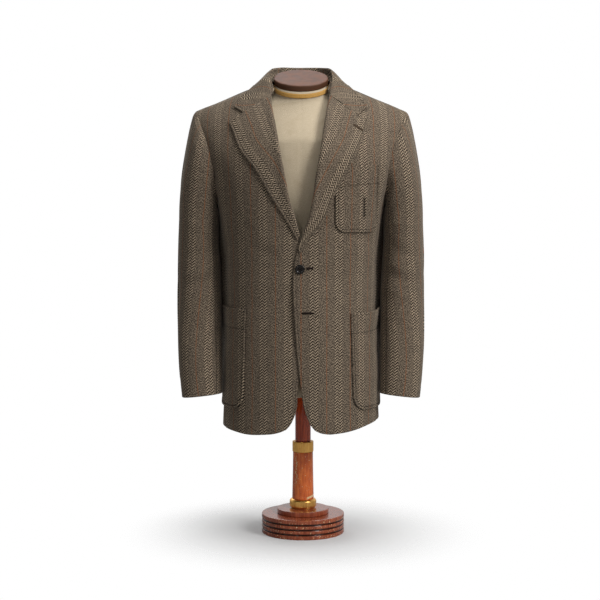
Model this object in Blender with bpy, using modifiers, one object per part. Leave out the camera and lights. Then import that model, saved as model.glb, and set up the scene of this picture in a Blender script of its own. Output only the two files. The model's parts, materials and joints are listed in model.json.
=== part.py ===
# Two-button jacket with patch pockets, worn by a limbless dress form on a turned stand.
# Metres, +Z up, the wearer faces -Y and the wearer's left is +X.
# The origin is the middle of the stand's foot, on the floor.
import math

import bpy
import numpy as np
from mathutils import Matrix, Vector


def table(names, *rows):
    # the rows of a short table, as one array for each named column
    return dict(zip(names.split(), np.array(rows, dtype=float).T))


# ---- driving dimensions ---------------------------------------------------------------
COLLECTION = "jacket_on_form"
WALL = 0.0025            # cloth with its interlining
SEAM = 0.0003            # gap between sewn pieces
SET_OVER = -0.0045       # the coat hangs this far to the wearer's right of the post

SQUARE = 2.35            # roundness of the body's outline: 2 is an ellipse
BODY = table("height front_width back_width front back",
             (0.235, 0.1765, 0.1790, 0.157, 0.152),
             (0.330, 0.1735, 0.1785, 0.152, 0.149),
             (0.430, 0.1685, 0.1815, 0.146, 0.142),
             (0.520, 0.1655, 0.1860, 0.140, 0.130),
             (0.600, 0.1670, 0.1900, 0.137, 0.120),
             (0.670, 0.1725, 0.1915, 0.139, 0.124),
             (0.740, 0.1840, 0.1920, 0.143, 0.131),
             (0.800, 0.2000, 0.2015, 0.143, 0.135),
             (0.860, 0.2220, 0.2220, 0.138, 0.134),
             (0.920, 0.2450, 0.2450, 0.128, 0.128),
             (0.970, 0.2620, 0.2620, 0.118, 0.122),
             (1.030, 0.2700, 0.2700, 0.110, 0.115))
DRAPE = (84.0, 106.0)    # bearings over which the back's fuller width takes over

SHOULDER = 0.236         # half of the shoulder width
SHOULDER_HEIGHT = 0.955
SHOULDER_SLOPE = 0.42
SHOULDER_Y = 0.012       # the shoulder seam lies just behind the middle
NECK_ROUND = 0.050       # the shoulder line levels off this near the neck
CHEST_ROUND = 0.195      # height over which the chest rounds into the shoulder
BACK_ROUND = 0.125
CHEST_FULL = 1.5         # power of that rounding: 2 is a quarter ellipse
BACK_FULL = 1.6
RIDGE_WIDTH = 0.0004     # within this of the shoulder line a normal is the line's own
NECK_POINT = 0.074       # where the shoulder seam meets the collar
BACK_NECK = 1.010        # height of the neck seam at the centre back

SEAM_REACH = (0.955, 0.968)      # side seams, as part of the half width, hem and armhole
ARMHOLE = table("height front back",
                (0.800, 0.1890, 0.1900),
                (0.828, 0.1920, 0.1935),
                (0.850, 0.1970, 0.1975),
                (0.878, 0.2055, 0.2045),
                (0.904, 0.2155, 0.2135),
                (0.930, 0.2255, 0.2245),
                (0.955, 0.2360, 0.2360))
FRONT_CORNER = 0.775     # where the side seams reach the armhole
BACK_CORNER = 0.785
UNDERARM = 0.745
UNDERARM_CURVE = 0.8     # power of the scoop's curve: below 1 is fuller

EDGE = table("height left right",      # front edge, then the roll line of the lapel
             (0.2575, 0.0300, 0.0340),
             (0.2680, 0.0217, 0.0245),
             (0.2820, 0.0145, 0.0170),
             (0.3006, 0.0080, 0.0105),
             (0.3550, -0.0012, 0.0070),
             (0.3920, -0.0057, 0.0020),
             (0.4380, -0.0103, -0.0065),
             (0.5120, -0.0148, -0.0130),
             (0.5750, -0.0178, -0.0172),
             (0.6020, -0.0168, -0.0165),
             (0.6580, -0.0057, -0.0050),
             (0.6780, 0.0010, 0.0012),
             (0.7180, 0.0150, 0.0118),
             (0.7600, 0.0240, 0.0240),
             (0.8110, 0.0312, 0.0340),
             (0.8690, 0.0416, 0.0452),
             (0.9150, 0.0487, 0.0535),
             (0.9610, 0.0570, 0.0627),
             (0.9950, 0.0650, 0.0670),
             (1.0175, 0.0740, 0.0740))
HEM = table("x left right",
            (0.0300, 0.2575, 0.2610),
            (0.0400, 0.2525, 0.2555),
            (0.0560, 0.2487, 0.2502),
            (0.0850, 0.2492, 0.2462),
            (0.1200, 0.2542, 0.2443),
            (0.1500, 0.2615, 0.2475),
            (0.1720, 0.2660, 0.2500))
HEM_BACK = 0.262
OVERLAP = 0.0032         # the left front rides this far over the right one
OVERLAP_FADE = (0.026, 0.085)        # from full to nothing, across the left front
LAP_END = (0.70, 0.82)               # and up it

LAPEL = {
    "left": table("roll x height lift",
                  (0.6560, -0.0022, 0.6400, 0.0035),
                  (0.6760, 0.0157, 0.6724, 0.0040),
                  (0.7050, 0.0371, 0.6977, 0.0056),
                  (0.7400, 0.0570, 0.7299, 0.0076),
                  (0.7760, 0.0690, 0.7626, 0.0084),
                  (0.8150, 0.0880, 0.8000, 0.0086),
                  (0.8520, 0.1060, 0.8337, 0.0080),
                  (0.9000, 0.1315, 0.8868, 0.0058),
                  (0.9410, 0.1405, 0.9100, 0.0050),
                  (0.9850, 0.1482, 0.9329, 0.0045)),
    "right": table("roll x height lift",
                   (0.6795, 0.0085, 0.6720, 0.0034),
                   (0.6900, 0.0175, 0.6870, 0.0036),
                   (0.7100, 0.0288, 0.7083, 0.0040),
                   (0.7400, 0.0450, 0.7350, 0.0046),
                   (0.7760, 0.0618, 0.7618, 0.0052),
                   (0.8150, 0.0790, 0.7915, 0.0056),
                   (0.8520, 0.0955, 0.8200, 0.0056),
                   (0.9000, 0.1330, 0.8692, 0.0052),
                   (0.9410, 0.1450, 0.8980, 0.0048),
                   (0.9850, 0.1568, 0.9259, 0.0045)),
}
NOTCH = {"left": (0.1216, 0.9418), "right": (0.1259, 0.9465)}
ROLL_PUFF = 0.0032       # the lapel stands up this much along its roll
ROLL_REACH = 0.022
PUFF_START = 0.20        # part of the lapel's length over which that begins

COLLAR = table("roll_x roll_y roll_z edge_x edge_drop",
               (0.0640, -0.0455, 0.9900, 0.1480, -0.150),
               (0.0665, -0.0280, 1.0120, 0.1230, -0.050),
               (0.0695, -0.0040, 1.0340, 0.1040, 0.010),
               (0.0665, 0.0270, 1.0500, 0.0880, 0.095),
               (0.0480, 0.0570, 1.0550, 0.0580, 0.230),
               (0.0240, 0.0690, 1.0555, 0.0280, 0.295),
               (0.0000, 0.0725, 1.0555, 0.0000, 0.315))
COLLAR_LIFT = 0.0052     # the leaf's outer face above the shoulder, at its edge
COLLAR_BULGE = 0.005
COLLAR_BULGE_CURVE = 0.75            # power that sets the bulge nearer to the roll
COLLAR_ROWS = 13         # from the gorge seam to the centre back
COLLAR_FADE = 5          # rows over which the ends take up the gorge seam's line
STAND_ROWS = 11
STAND_COLUMNS = 4
STAND_FOOT = table("x y z",
                   (0.0660, -0.0300, 1.0010),
                   (0.0690, -0.0120, 1.0160),
                   (0.0690, 0.0060, 1.0210),
                   (0.0640, 0.0300, 1.0200),
                   (0.0450, 0.0530, 1.0150),
                   (0.0220, 0.0625, 1.0135),
                   (0.0000, 0.0650, 1.0130))
LEAF_GAP = 0.0001        # between the leaf and the stand inside it

SLEEVE_SQUARE = 2.25
SLEEVE = table("outer_x outer_z inner_x inner_z middle depth keep",
               (0.2360, 0.9550, 0.1870, 0.7450, 0.004, 0.150, 1.00),
               (0.2425, 0.9420, 0.1895, 0.7435, 0.004, 0.152, 0.75),
               (0.2480, 0.9230, 0.1905, 0.7410, 0.004, 0.153, 0.50),
               (0.2550, 0.8890, 0.1905, 0.7370, 0.004, 0.153, 0.28),
               (0.2620, 0.8450, 0.1900, 0.7300, 0.005, 0.151, 0.12),
               (0.2680, 0.8000, 0.1890, 0.7180, 0.007, 0.148, 0.04),
               (0.2722, 0.7500, 0.1876, 0.6950, 0.010, 0.143, 0.00),
               (0.2745, 0.6900, 0.1856, 0.6570, 0.012, 0.136, 0.00),
               (0.2762, 0.6200, 0.1836, 0.6020, 0.012, 0.128, 0.00),
               (0.2768, 0.5500, 0.1824, 0.5430, 0.008, 0.121, 0.00),
               (0.2766, 0.4800, 0.1818, 0.4800, -0.003, 0.114, 0.00),
               (0.2748, 0.4150, 0.1812, 0.4210, -0.019, 0.108, 0.00),
               (0.2705, 0.3600, 0.1810, 0.3690, -0.033, 0.102, 0.00),
               (0.2650, 0.3150, 0.1812, 0.3250, -0.044, 0.097, 0.00))
SLEEVE_SEAM_HEIGHT = 0.862           # where the elbow seam leaves the armhole
CUFF_FALL = (0.07, 0.60, 0.32)       # drop for each metre backwards, and where it begins and is full
HOLE_MATCH = 0.3                     # cosine up to which a sleeve's end takes the armhole's normals

POCKET_LIFT = 0.0015                 # clear of the cloth behind
LOWER_POCKET = table("side start sweep top bottom",
                     (1, 37.0, 61.0, 0.5100, 0.2965),
                     (-1, 43.0, 61.0, 0.5190, 0.2975))
LOWER_POCKET_WIDTH = 0.170
LOWER_POCKET_TILT = 0.0035           # the mouth falls towards the back
LOWER_POCKET_ROUND = 0.20            # rounded lower corners, as part of the width
CHEST_POCKET = table("x bottom top", (0.0735, 0.6880, 0.8260), (0.1700, 0.6860, 0.8350))
CHEST_POCKET_ROUND = 0.24

BUTTON_RADIUS = 0.0105
BUTTON_THICK = 0.0027
BUTTON_PROFILE = table("radius height",      # as parts of the two above, with a sunken face
                       (0.00, 0.62), (0.55, 0.62), (0.74, 1.00), (0.92, 0.92),
                       (1.00, 0.50), (0.90, 0.00), (0.00, 0.00))
BUTTON_STEPS = 24
BUTTON_X = -0.0025
BUTTON_SEAT = 0.0013
UPPER_BUTTON = 0.6085
LOWER_BUTTON = 0.5130
LOWER_BUTTON_BUMP = 0.0047           # room for the hidden button
BUMP_REACH = 0.050

FORM = table("height half_width front back",
             (0.3210, 0.1300, 0.1080, 0.1080),
             (0.3350, 0.1400, 0.1180, 0.1180),
             (0.4000, 0.1480, 0.1250, 0.1260),
             (0.5000, 0.1430, 0.1180, 0.1140),
             (0.6000, 0.1380, 0.1120, 0.1010),
             (0.7000, 0.1520, 0.1200, 0.1080),
             (0.7800, 0.1690, 0.1280, 0.1190),
             (0.8400, 0.1770, 0.1270, 0.1210),
             (0.9000, 0.1900, 0.1200, 0.1180),
             (0.9350, 0.2030, 0.1160, 0.1160),
             (0.9700, 0.2100, 0.1100, 0.1100),
             (1.0300, 0.2150, 0.1100, 0.1100))
FORM_CLEAR_Y = 0.0056                # cloth wall and room in front and behind
FORM_CLEAR_Z = 0.0026                # the coat's shoulders rest here
NECK_DIP = 0.022                     # the form falls away from the coat round the neck
NECK_DIP_REACH = (0.062, 0.120)
NECK = table("height half_width half_depth centre",
             (0.9300, 0.0660, 0.0600, 0.0120),
             (0.9650, 0.0620, 0.0580, 0.0070),
             (0.9900, 0.0590, 0.0540, 0.0020),
             (1.0300, 0.0575, 0.0510, 0.0000))
NECK_TILT = 0.42                     # rise for each metre backwards
NECK_START = (0.90, 0.96)            # heights over which the neck grows out of the shoulders
NECK_BLEND = 8                       # power of that joining: higher is sharper
FORM_ROWS = np.array([0.321, 0.333, 0.345, 0.40, 0.47, 0.54, 0.61, 0.68, 0.75, 0.82, 0.88,
                      0.910, 0.923, 0.936, 0.949, 0.962, 0.975])
NECK_ROWS = (0.2, 0.4, 0.7, 1.0)     # parts of the way up to the tilted top
FORM_COLUMNS = 32
FORM_CROWD = 0.16                    # crowds the columns towards the arms
HALVINGS = 24                        # steps that find the form's surface
SETTLINGS = 8                        # steps that settle a tilted line on it
CAP_HEIGHT = 1.028
CAP_RADIUS = (0.0610, 0.0545)
CAP_THICK = 0.0140
CAP_BEVEL = 0.0035
CAP_SIDES = 40
BRAID = table("drop inside outside", (0.0015, 0.0020, 0.0034), (0.0110, 0.0020, 0.0034))

PLINTH = (0.0937, 0.0440)            # radius and height
PLINTH_RIBS = 4
PLINTH_GROOVE = (0.0035, 0.0028)     # width and depth
PLINTH_ROUND = 0.0015
STEP = (0.0587, 0.0443, 0.0552, 0.0015)      # radius, underside, top and rounded corner
LOWER_RING = table("radius height",
                   (0.0000, 0.0765), (0.0263, 0.0765), (0.0283, 0.0750), (0.0303, 0.0725),
                   (0.0303, 0.0590), (0.0273, 0.0575), (0.0273, 0.0555), (0.0000, 0.0555))
LOWER_POST = table("radius height",
                   (0.0000, 0.1845), (0.0226, 0.1845), (0.0232, 0.1400), (0.0245, 0.0768),
                   (0.0000, 0.0768))
UPPER_RING = (0.0239, 0.1848, 0.2085, 0.0012)
UPPER_POST = (0.0176, 0.2088, 0.3207, 0.0008)
TURNING_STEPS = 36
CREASE = math.radians(40)            # edges sharper than this stay crisp

# lines of the cloth grids, as parts of the width or of the height below the armhole;
# the fronts' and backs' are closer together towards the side, where the outline turns
LAPEL_COLUMNS = np.array([0, 0.10, 0.28, 0.50, 0.70, 1.0])
POCKET_COLUMNS = np.array([0, 0.04, 0.12, 0.25, 0.42, 0.58, 0.75, 0.88, 0.96, 1.0])
POCKET_ROWS = np.array([0, 0.12, 0.30, 0.52, 0.76, 1.0])
FRONT_COLUMNS = np.array([0, 0.15, 0.30, 0.45, 0.59, 0.72, 0.835, 0.93, 1])
BACK_COLUMNS = np.array([0, 0.157, 0.3136, 0.48, 0.63, 0.76, 0.865, 0.945, 1])
SIDE_COLUMNS = 4
LOW_ROWS = np.array([0, 0.022, 0.05, 0.095, 0.18, 0.30, 0.43, 0.56, 0.70, 0.85, 1])
HIGH_ROWS = 8

COLOURS = {
    "tweed": ((0.135, 0.110, 0.085), 0.95, 0.0),
    "horn": ((0.020, 0.015, 0.012), 0.35, 0.0),
    "linen": ((0.420, 0.340, 0.240), 0.90, 0.0),
    "braid": ((0.420, 0.200, 0.030), 0.80, 0.0),
    "cap": ((0.150, 0.090, 0.080), 0.55, 0.0),
    "wood": ((0.170, 0.045, 0.020), 0.30, 0.0),
    "brass": ((0.350, 0.210, 0.070), 0.35, 1.0),
}


# ---- curves and surfaces ----------------------------------------------------------------
def smooth(x, xs, ys):
    # cubic curve through the rows of a table, held level past its ends
    x = np.asarray(x, dtype=float)
    slope = np.gradient(ys, xs)
    i = np.clip(np.searchsorted(xs, x, side="right") - 1, 0, len(xs) - 2)
    h = xs[i + 1] - xs[i]
    t = np.clip((x - xs[i]) / h, 0, 1)
    level = ys[i] + (ys[i + 1] - ys[i]) * (3 * t**2 - 2 * t**3)
    return level + h * (slope[i] * (t**3 - 2 * t**2 + t) + slope[i + 1] * (t**3 - t**2))


def ease(t):
    t = np.clip(t, 0, 1)
    return t * t * (3 - 2 * t)


def body(z, face):
    # half width and reach of the outline's front or back half
    names = ("front_width", "front") if face < 0 else ("back_width", "back")
    return [smooth(z, BODY["height"], BODY[name]) for name in names]


def ridge(x):
    # height of the shoulder line above x
    return SHOULDER_HEIGHT + SHOULDER_SLOPE * (SHOULDER - np.sqrt(np.asarray(x)**2 + NECK_ROUND**2))


def depth(x, z, face):
    # y of the coat's outer face, before (face -1) or behind (face 1)
    width, reach = body(z, face)
    full = reach * np.clip(1 - np.abs(x / width)**SQUARE, 0, None)**(1 / SQUARE)
    drop = np.clip((ridge(x) - z) / (CHEST_ROUND if face < 0 else BACK_ROUND), 0, 1)
    filled = (1 - (1 - drop)**2)**(1 / (CHEST_FULL if face < 0 else BACK_FULL))
    return SHOULDER_Y * (1 - filled) + face * full * filled


def facing(x, z, face):
    # outward normal of that face; along the shoulder seam both faces share one
    step = RIDGE_WIDTH / 40
    inside = np.minimum(z, ridge(np.abs(x) + step) - RIDGE_WIDTH)
    across = (depth(x + step, inside, face) - depth(x - step, inside, face)) / (2 * step)
    up = (depth(x, inside + step, face) - depth(x, inside - step, face)) / (2 * step)
    normal = face * np.stack([-across, np.ones_like(across), -up], axis=-1)
    top = SHOULDER_SLOPE * x / np.sqrt(x**2 + NECK_ROUND**2)
    crest = np.stack([top, np.zeros_like(top), np.ones_like(top)], axis=-1)
    normal = np.where((ridge(x) - z < RIDGE_WIDTH)[..., None], crest, normal)
    return normal / np.linalg.norm(normal, axis=-1, keepdims=True)


def cloth(x, z, face, lift=0.0):
    # points on a face of the coat, moved out, and their normals
    x, z = np.broadcast_arrays(np.asarray(x, dtype=float), np.asarray(z, dtype=float))
    normal = facing(x, z, face)
    points = np.stack([x, depth(x, z, face), z], axis=-1)
    return points + np.asarray(lift)[..., None] * normal, normal


def outline(angle, z):
    # a bearing about the body, in degrees, from 0 at the front to 180 at the back
    sine, cosine = np.sin(np.radians(angle)), np.cos(np.radians(angle))
    (front_width, front), (back_width, back) = body(z, -1), body(z, 1)
    near, far = DRAPE
    width = front_width + (back_width - front_width) * ease((angle - near) / (far - near))
    reach = np.where(cosine > 0, front, back)
    y = -np.sign(cosine) * reach * np.abs(cosine)**(2 / SQUARE)
    return np.stack([width * np.abs(sine)**(2 / SQUARE), y, z], axis=-1)


def around(angle, z, lift=0.0):
    # points by bearing and height, moved out, and their normals
    angle, z = np.broadcast_arrays(np.asarray(angle, dtype=float), np.asarray(z, dtype=float))
    turn, rise = 0.5, 0.001
    along = outline(angle + turn, z) - outline(angle - turn, z)
    up = outline(angle, z + rise) - outline(angle, z - rise)
    normal = np.cross(along, up)
    normal /= np.linalg.norm(normal, axis=-1, keepdims=True)
    return outline(angle, z) + np.asarray(lift)[..., None] * normal, normal


def coons(bottom, top, inner, outer, s, t):
    # flat patch between four edges: rows run bottom to top, columns inner to outer
    s, t = s[None, :, None], t[:, None, None]
    across = (1 - t) * bottom[None] + t * top[None]
    along = (1 - s) * inner[:, None] + s * outer[:, None]
    corners = ((1 - t) * ((1 - s) * bottom[0] + s * bottom[-1])
               + t * ((1 - s) * top[0] + s * top[-1]))
    return across + along - corners


def pair(x, z):
    x, z = np.broadcast_arrays(x, z)
    return np.stack([x, z], axis=-1)


# ---- the coat's panels, worked out on the +X side ----------------------------------------
def side_name(side):
    return "left" if side > 0 else "right"


def seam_reach(z, hem, corner):
    share = (z - hem) / (corner - hem)
    return SEAM_REACH[0] + (SEAM_REACH[1] - SEAM_REACH[0]) * share


def row_heights(hem, corner, top):
    # heights up a panel's outer edge: the side seam, then evenly round the armhole
    low = hem + (corner - hem) * LOW_ROWS
    middle, half = (top + UNDERARM) / 2, (top - UNDERARM) / 2
    start = math.acos((corner - middle) / half)
    high = middle + half * np.cos(np.linspace(start, 0, HIGH_ROWS + 1))
    return np.concatenate([low, high[1:]])


def outer_edge(heights, hem, corner, face):
    width = body(heights, face)[0]
    seam = width * seam_reach(np.minimum(heights, corner), hem, corner)
    column = ARMHOLE["front" if face < 0 else "back"]
    first = body(corner, face)[0] * SEAM_REACH[1]
    hole = smooth(heights, np.append(corner, ARMHOLE["height"]), np.append(first, column))
    return pair(np.where(heights > corner, hole, seam), heights)


def side_hem(side):
    column = HEM[side_name(side)]
    return float(column[-1])


def front_lift(side, x, z):
    # the left front lies over the right one and over its hidden button
    if side < 0:
        return np.zeros(np.broadcast(x, z).shape)
    near, far = OVERLAP_FADE
    low, high = LAP_END
    lap = OVERLAP + LOWER_BUTTON_BUMP * np.exp(-(z - LOWER_BUTTON)**2 / (2 * BUMP_REACH**2))
    return lap * (1 - ease((x - near) / (far - near))) * (1 - ease((z - low) / (high - low)))


def front_grid(side):
    name = side_name(side)
    hem = side_hem(side)
    heights = row_heights(hem, FRONT_CORNER, SHOULDER_HEIGHT)
    outer = outer_edge(heights, hem, FRONT_CORNER, -1)
    t = (heights - hem) / (SHOULDER_HEIGHT - hem)
    low = EDGE["height"][0]
    share = np.clip((heights - FRONT_CORNER) / (SHOULDER_HEIGHT - FRONT_CORNER), 0, 1)
    lower = low + (FRONT_CORNER - low) * np.clip((heights - hem) / (FRONT_CORNER - hem), 0, 1)
    rise = lower + (EDGE["height"][-1] - FRONT_CORNER) * share
    inner = pair(smooth(rise, EDGE["height"], EDGE[name]), rise)
    s = FRONT_COLUMNS
    start = inner[0]
    x = start[0] + (outer[0, 0] - start[0]) * s
    bottom = pair(x, smooth(x, HEM["x"], HEM[name]))
    bottom[0], bottom[-1] = inner[0], outer[0]
    x = inner[-1, 0] + (SHOULDER - inner[-1, 0]) * s
    top = pair(x, ridge(x))
    top[-1] = outer[-1]
    inner[-1] = top[0]
    return coons(bottom, top, inner, outer, s, t)


def back_grid(side):
    hem = side_hem(side)
    heights = row_heights(hem, BACK_CORNER, SHOULDER_HEIGHT)
    outer = outer_edge(heights, hem, BACK_CORNER, 1)
    t = (heights - hem) / (SHOULDER_HEIGHT - hem)
    share = np.clip((heights - BACK_CORNER) / (SHOULDER_HEIGHT - BACK_CORNER), 0, 1)
    lower = HEM_BACK + (BACK_CORNER - HEM_BACK) * np.clip((heights - hem) / (BACK_CORNER - hem), 0, 1)
    rise = lower + (BACK_NECK - BACK_CORNER) * share
    inner = pair(0.0, rise)
    s = BACK_COLUMNS
    bottom = pair(outer[0, 0] * s, HEM_BACK + (hem - HEM_BACK) * s)
    x = SHOULDER * s
    neck = BACK_NECK + (ridge(NECK_POINT) - BACK_NECK) * (x / NECK_POINT)**2
    top = pair(x, np.where(x < NECK_POINT, neck, ridge(x)))
    top[-1] = outer[-1]
    return coons(bottom, top, inner, outer, s, t)


def side_grid(side):
    # bearings and heights; its edges are the same points as the panels beside it
    hem = side_hem(side)
    columns = np.linspace(0, 1, SIDE_COLUMNS + 1)
    reach = SEAM_REACH[0] + (SEAM_REACH[1] - SEAM_REACH[0]) * LOW_ROWS
    start = np.degrees(np.arcsin(reach**(SQUARE / 2)))
    angle = start[:, None] + (180 - 2 * start)[:, None] * columns
    corner = FRONT_CORNER + (BACK_CORNER - FRONT_CORNER) * columns
    scoop = corner - (corner - UNDERARM) * np.sin(math.pi * columns)**UNDERARM_CURVE
    height = hem + (scoop - hem) * LOW_ROWS[:, None]
    return angle, height


# ---- meshes -------------------------------------------------------------------------------
def finish(points, side):
    # to the coat's place in the world, on its own side
    return points * np.array([side, 1, 1]) + np.array([SET_OVER, 0, 0])


def pull_in(outer, inner, edges):
    # move each named edge in by half of the seam gap
    outer, inner = outer.copy(), inner.copy()
    whole = outer.copy()
    rims = {"bottom": (np.s_[0], np.s_[1]), "top": (np.s_[-1], np.s_[-2]),
            "start": (np.s_[:, 0], np.s_[:, 1]), "end": (np.s_[:, -1], np.s_[:, -2])}
    for edge in edges:
        rim, beside = rims[edge]
        along = np.gradient(whole[rim], axis=0)
        along /= np.linalg.norm(along, axis=-1, keepdims=True)
        way = whole[beside] - whole[rim]
        way -= along * np.sum(way * along, axis=-1, keepdims=True)
        way *= SEAM / 2 / np.linalg.norm(way, axis=-1, keepdims=True)
        outer[rim] += way
        inner[rim] += way
    return outer, inner


def wall_mesh(name, outer, inner):
    # closed wall between two grids of points, with rims on its four sides
    rows, columns = outer.shape[:2]
    count = rows * columns
    index = np.arange(count).reshape(rows, columns)

    def cells(grid):
        corners = [grid[:-1, :-1], grid[:-1, 1:], grid[1:, 1:], grid[1:, :-1]]
        return np.stack(corners, axis=-1).reshape(-1, 4)

    loop = np.concatenate([index[0, :-1], index[:-1, -1], index[-1, :0:-1], index[:0:-1, 0]])
    ahead = np.roll(loop, -1)
    # rims are split on like diagonals, so that two rims at a seam lie flat together
    back = (ahead < loop)[:, None]
    first = np.where(back, np.stack([ahead, loop, loop + count], axis=-1),
                     np.stack([ahead, loop, ahead + count], axis=-1))
    second = np.where(back, np.stack([ahead, loop + count, ahead + count], axis=-1),
                      np.stack([loop, loop + count, ahead + count], axis=-1))
    quads = np.concatenate([cells(index), cells(index + count)[:, ::-1]])
    points = np.concatenate([outer.reshape(-1, 3), inner.reshape(-1, 3)])
    corners = points[quads]
    turn = np.cross(corners[:, 2] - corners[:, 0], corners[:, 3] - corners[:, 1])
    through = (outer - inner)[:-1, :-1].reshape(-1, 3)
    faces = quads.tolist() + first.tolist() + second.tolist()
    if np.sum(turn[:len(through)] * through) < 0:
        faces = [face[::-1] for face in faces]
    mesh = bpy.data.meshes.new(name)
    mesh.from_pydata(points.tolist(), [], faces)
    return mesh


def shade(mesh):
    # smooth, with creases at the rims
    mesh.shade_smooth()
    mesh.set_sharp_from_angle(angle=CREASE)


def material(name):
    found = bpy.data.materials.get(name)
    if found:
        return found
    colour, roughness, metallic = COLOURS[name]
    made = bpy.data.materials.new(name)
    made.use_nodes = True
    shader = made.node_tree.nodes["Principled BSDF"]
    shader.inputs["Base Color"].default_value = (*colour, 1)
    shader.inputs["Roughness"].default_value = roughness
    shader.inputs["Metallic"].default_value = metallic
    return made


def place(name, mesh, finish_name, matrix=None):
    mesh.name = name
    shade(mesh)
    mesh.materials.clear()
    mesh.materials.append(material(finish_name))
    made = bpy.data.objects.new(name, mesh)
    bpy.data.collections[COLLECTION].objects.link(made)
    if matrix is not None:
        made.matrix_world = matrix
    return made


def sew(name, outer, inner, side, edges=()):
    outer, inner = pull_in(outer, inner, edges)
    return place(name, wall_mesh(name, finish(outer, side), finish(inner, side)), "tweed")


def grid_normals(points, closed=False):
    # normals of a grid, averaged from the directions along its rows and columns
    if closed:
        across = np.roll(points, -1, axis=1) - np.roll(points, 1, axis=1)
    else:
        across = np.gradient(points, axis=1)
    normal = np.cross(across, np.gradient(points, axis=0))
    return normal / np.linalg.norm(normal, axis=-1, keepdims=True)


# ---- pieces of the coat --------------------------------------------------------------------
def build_body(side):
    name = side_name(side)
    edges = {}
    flat = front_grid(side)
    lift = front_lift(side, flat[..., 0], flat[..., 1])
    outer, normal = cloth(flat[..., 0], flat[..., 1], -1, lift)
    sew("front_" + name, outer, outer - WALL * normal, side, ("top", "end"))
    edges["front"] = (outer, normal)
    flat = back_grid(side)
    outer, normal = cloth(flat[..., 0], flat[..., 1], 1)
    sew("back_" + name, outer, outer - WALL * normal, side, ("top", "end", "start"))
    edges["back"] = (outer, normal)
    outer, normal = around(*side_grid(side))
    sew("side_" + name, outer, outer - WALL * normal, side, ("start", "end", "top"))
    edges["side"] = (outer, normal)
    return edges


def armhole_ring(edges):
    # the armhole's points and normals: shoulder, down the front, underarm, up the back
    corner = len(LOW_ROWS) - 1
    front = [grid[corner:, -1][::-1] for grid in edges["front"]]
    under = [grid[-1, 1:-1] for grid in edges["side"]]
    back = [grid[corner:-1, -1] for grid in edges["back"]]
    return [np.concatenate(group) for group in zip(front, under, back)]


def signed_power(value, power):
    return np.sign(value) * np.abs(value)**power


def build_sleeve(side, edges):
    ring, ring_normal = armhole_ring(edges)
    row = {key: value[:, None] for key, value in SLEEVE.items()}
    outer = np.stack([SLEEVE["outer_x"], SLEEVE["outer_z"]], axis=-1)
    inner = np.stack([SLEEVE["inner_x"], SLEEVE["inner_z"]], axis=-1)
    middle, reach = (outer + inner) / 2, (outer - inner) / 2
    size = np.linalg.norm(reach[0])
    along = ((ring[:, [0, 2]] - middle[0]) @ (reach[0] / size)) / size
    across = (ring[:, 1] - SLEEVE["middle"][0]) / (SLEEVE["depth"][0] / 2)
    angle = np.arctan2(signed_power(across, SLEEVE_SQUARE / 2), signed_power(along, SLEEVE_SQUARE / 2))
    out = signed_power(np.cos(angle), 2 / SLEEVE_SQUARE)
    back = signed_power(np.sin(angle), 2 / SLEEVE_SQUARE)
    plan = middle[:, None] + reach[:, None] * out[None, :, None]
    y = row["middle"] + row["depth"] / 2 * back
    slope, start, full = CUFF_FALL
    fall = slope * ease((start - row["outer_z"]) / (start - full))
    tube = np.stack([plan[..., 0], y, plan[..., 1] - fall * (y - row["middle"])], axis=-1)
    tube += row["keep"][..., None] * (ring - tube[0])
    tilt = np.array([reach[0, 1], 0, -reach[0, 0]]) / size
    tube[0] += SEAM * tilt
    normal = grid_normals(tube, closed=True)
    if np.sum(normal[-1] * (tube[-1] - tube[-1].mean(axis=0))) < 0:
        normal = -normal
    alike = np.sum(normal[0] * ring_normal, axis=-1) > HOLE_MATCH
    normal[0] = np.where(alike[:, None], ring_normal, normal[0])
    inside = tube - WALL * normal
    # the forearm seam runs down from the side seam, the elbow seam from the back of the armhole
    forearm, behind = HIGH_ROWS, len(ring) - HIGH_ROWS
    elbow = behind + int(np.argmin(np.abs(ring[behind:, 2] - SLEEVE_SEAM_HEIGHT)))
    under = np.arange(forearm, elbow + 1)
    over = np.arange(elbow, len(ring) + forearm + 1) % len(ring)
    for label, chosen in (("sleeve_under_", under), ("sleeve_top_", over)):
        sew(label + side_name(side), tube[:, chosen], inside[:, chosen], side, ("start", "end"))


def lapel_grid(side):
    # between the roll line and the outer edge, up to the gorge seam and the notch
    name = side_name(side)
    rows = LAPEL[name]
    notch = np.array(NOTCH[name])
    roll = rows["roll"]
    inner = pair(smooth(roll, EDGE["height"], EDGE[name]), roll)
    outer = pair(rows["x"], rows["height"])
    s = LAPEL_COLUMNS
    bottom = inner[0] + (outer[0] - inner[0]) * s[:, None]
    gorge = inner[-1] + (notch - inner[-1]) * (s / s[-2])[:, None]
    top = np.where((s < 1)[:, None], gorge, outer[-1])
    t = (roll - roll[0]) / (roll[-1] - roll[0])
    flat = coons(bottom, top, inner, outer, s, t)
    apart = np.linalg.norm(flat - flat[:, :1], axis=-1)
    puff = ROLL_PUFF * (1 - ease(apart / ROLL_REACH)) * ease(t / PUFF_START)[:, None]
    return flat, rows["lift"][:, None] + puff + front_lift(side, flat[..., 0], flat[..., 1])


def build_lapel(side):
    flat, lift = lapel_grid(side)
    outer, normal = cloth(flat[..., 0], flat[..., 1], -1, lift)
    sew("lapel_" + side_name(side), outer, outer - WALL * normal, side, ("top",))
    return outer[-1], normal[-1]


def spread(columns, count):
    # a table's columns at even steps to the centre back, then on to the other side
    steps = np.linspace(0, 1, count)
    half = [np.interp(steps, np.linspace(0, 1, len(column)), column) for column in columns]
    return [np.concatenate([column, column[-2::-1]]) for column in half]


def across(points, count):
    # those points with x turned over past the centre back
    points = np.stack(points, axis=-1)
    points[count:, 0] *= -1
    return points


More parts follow.
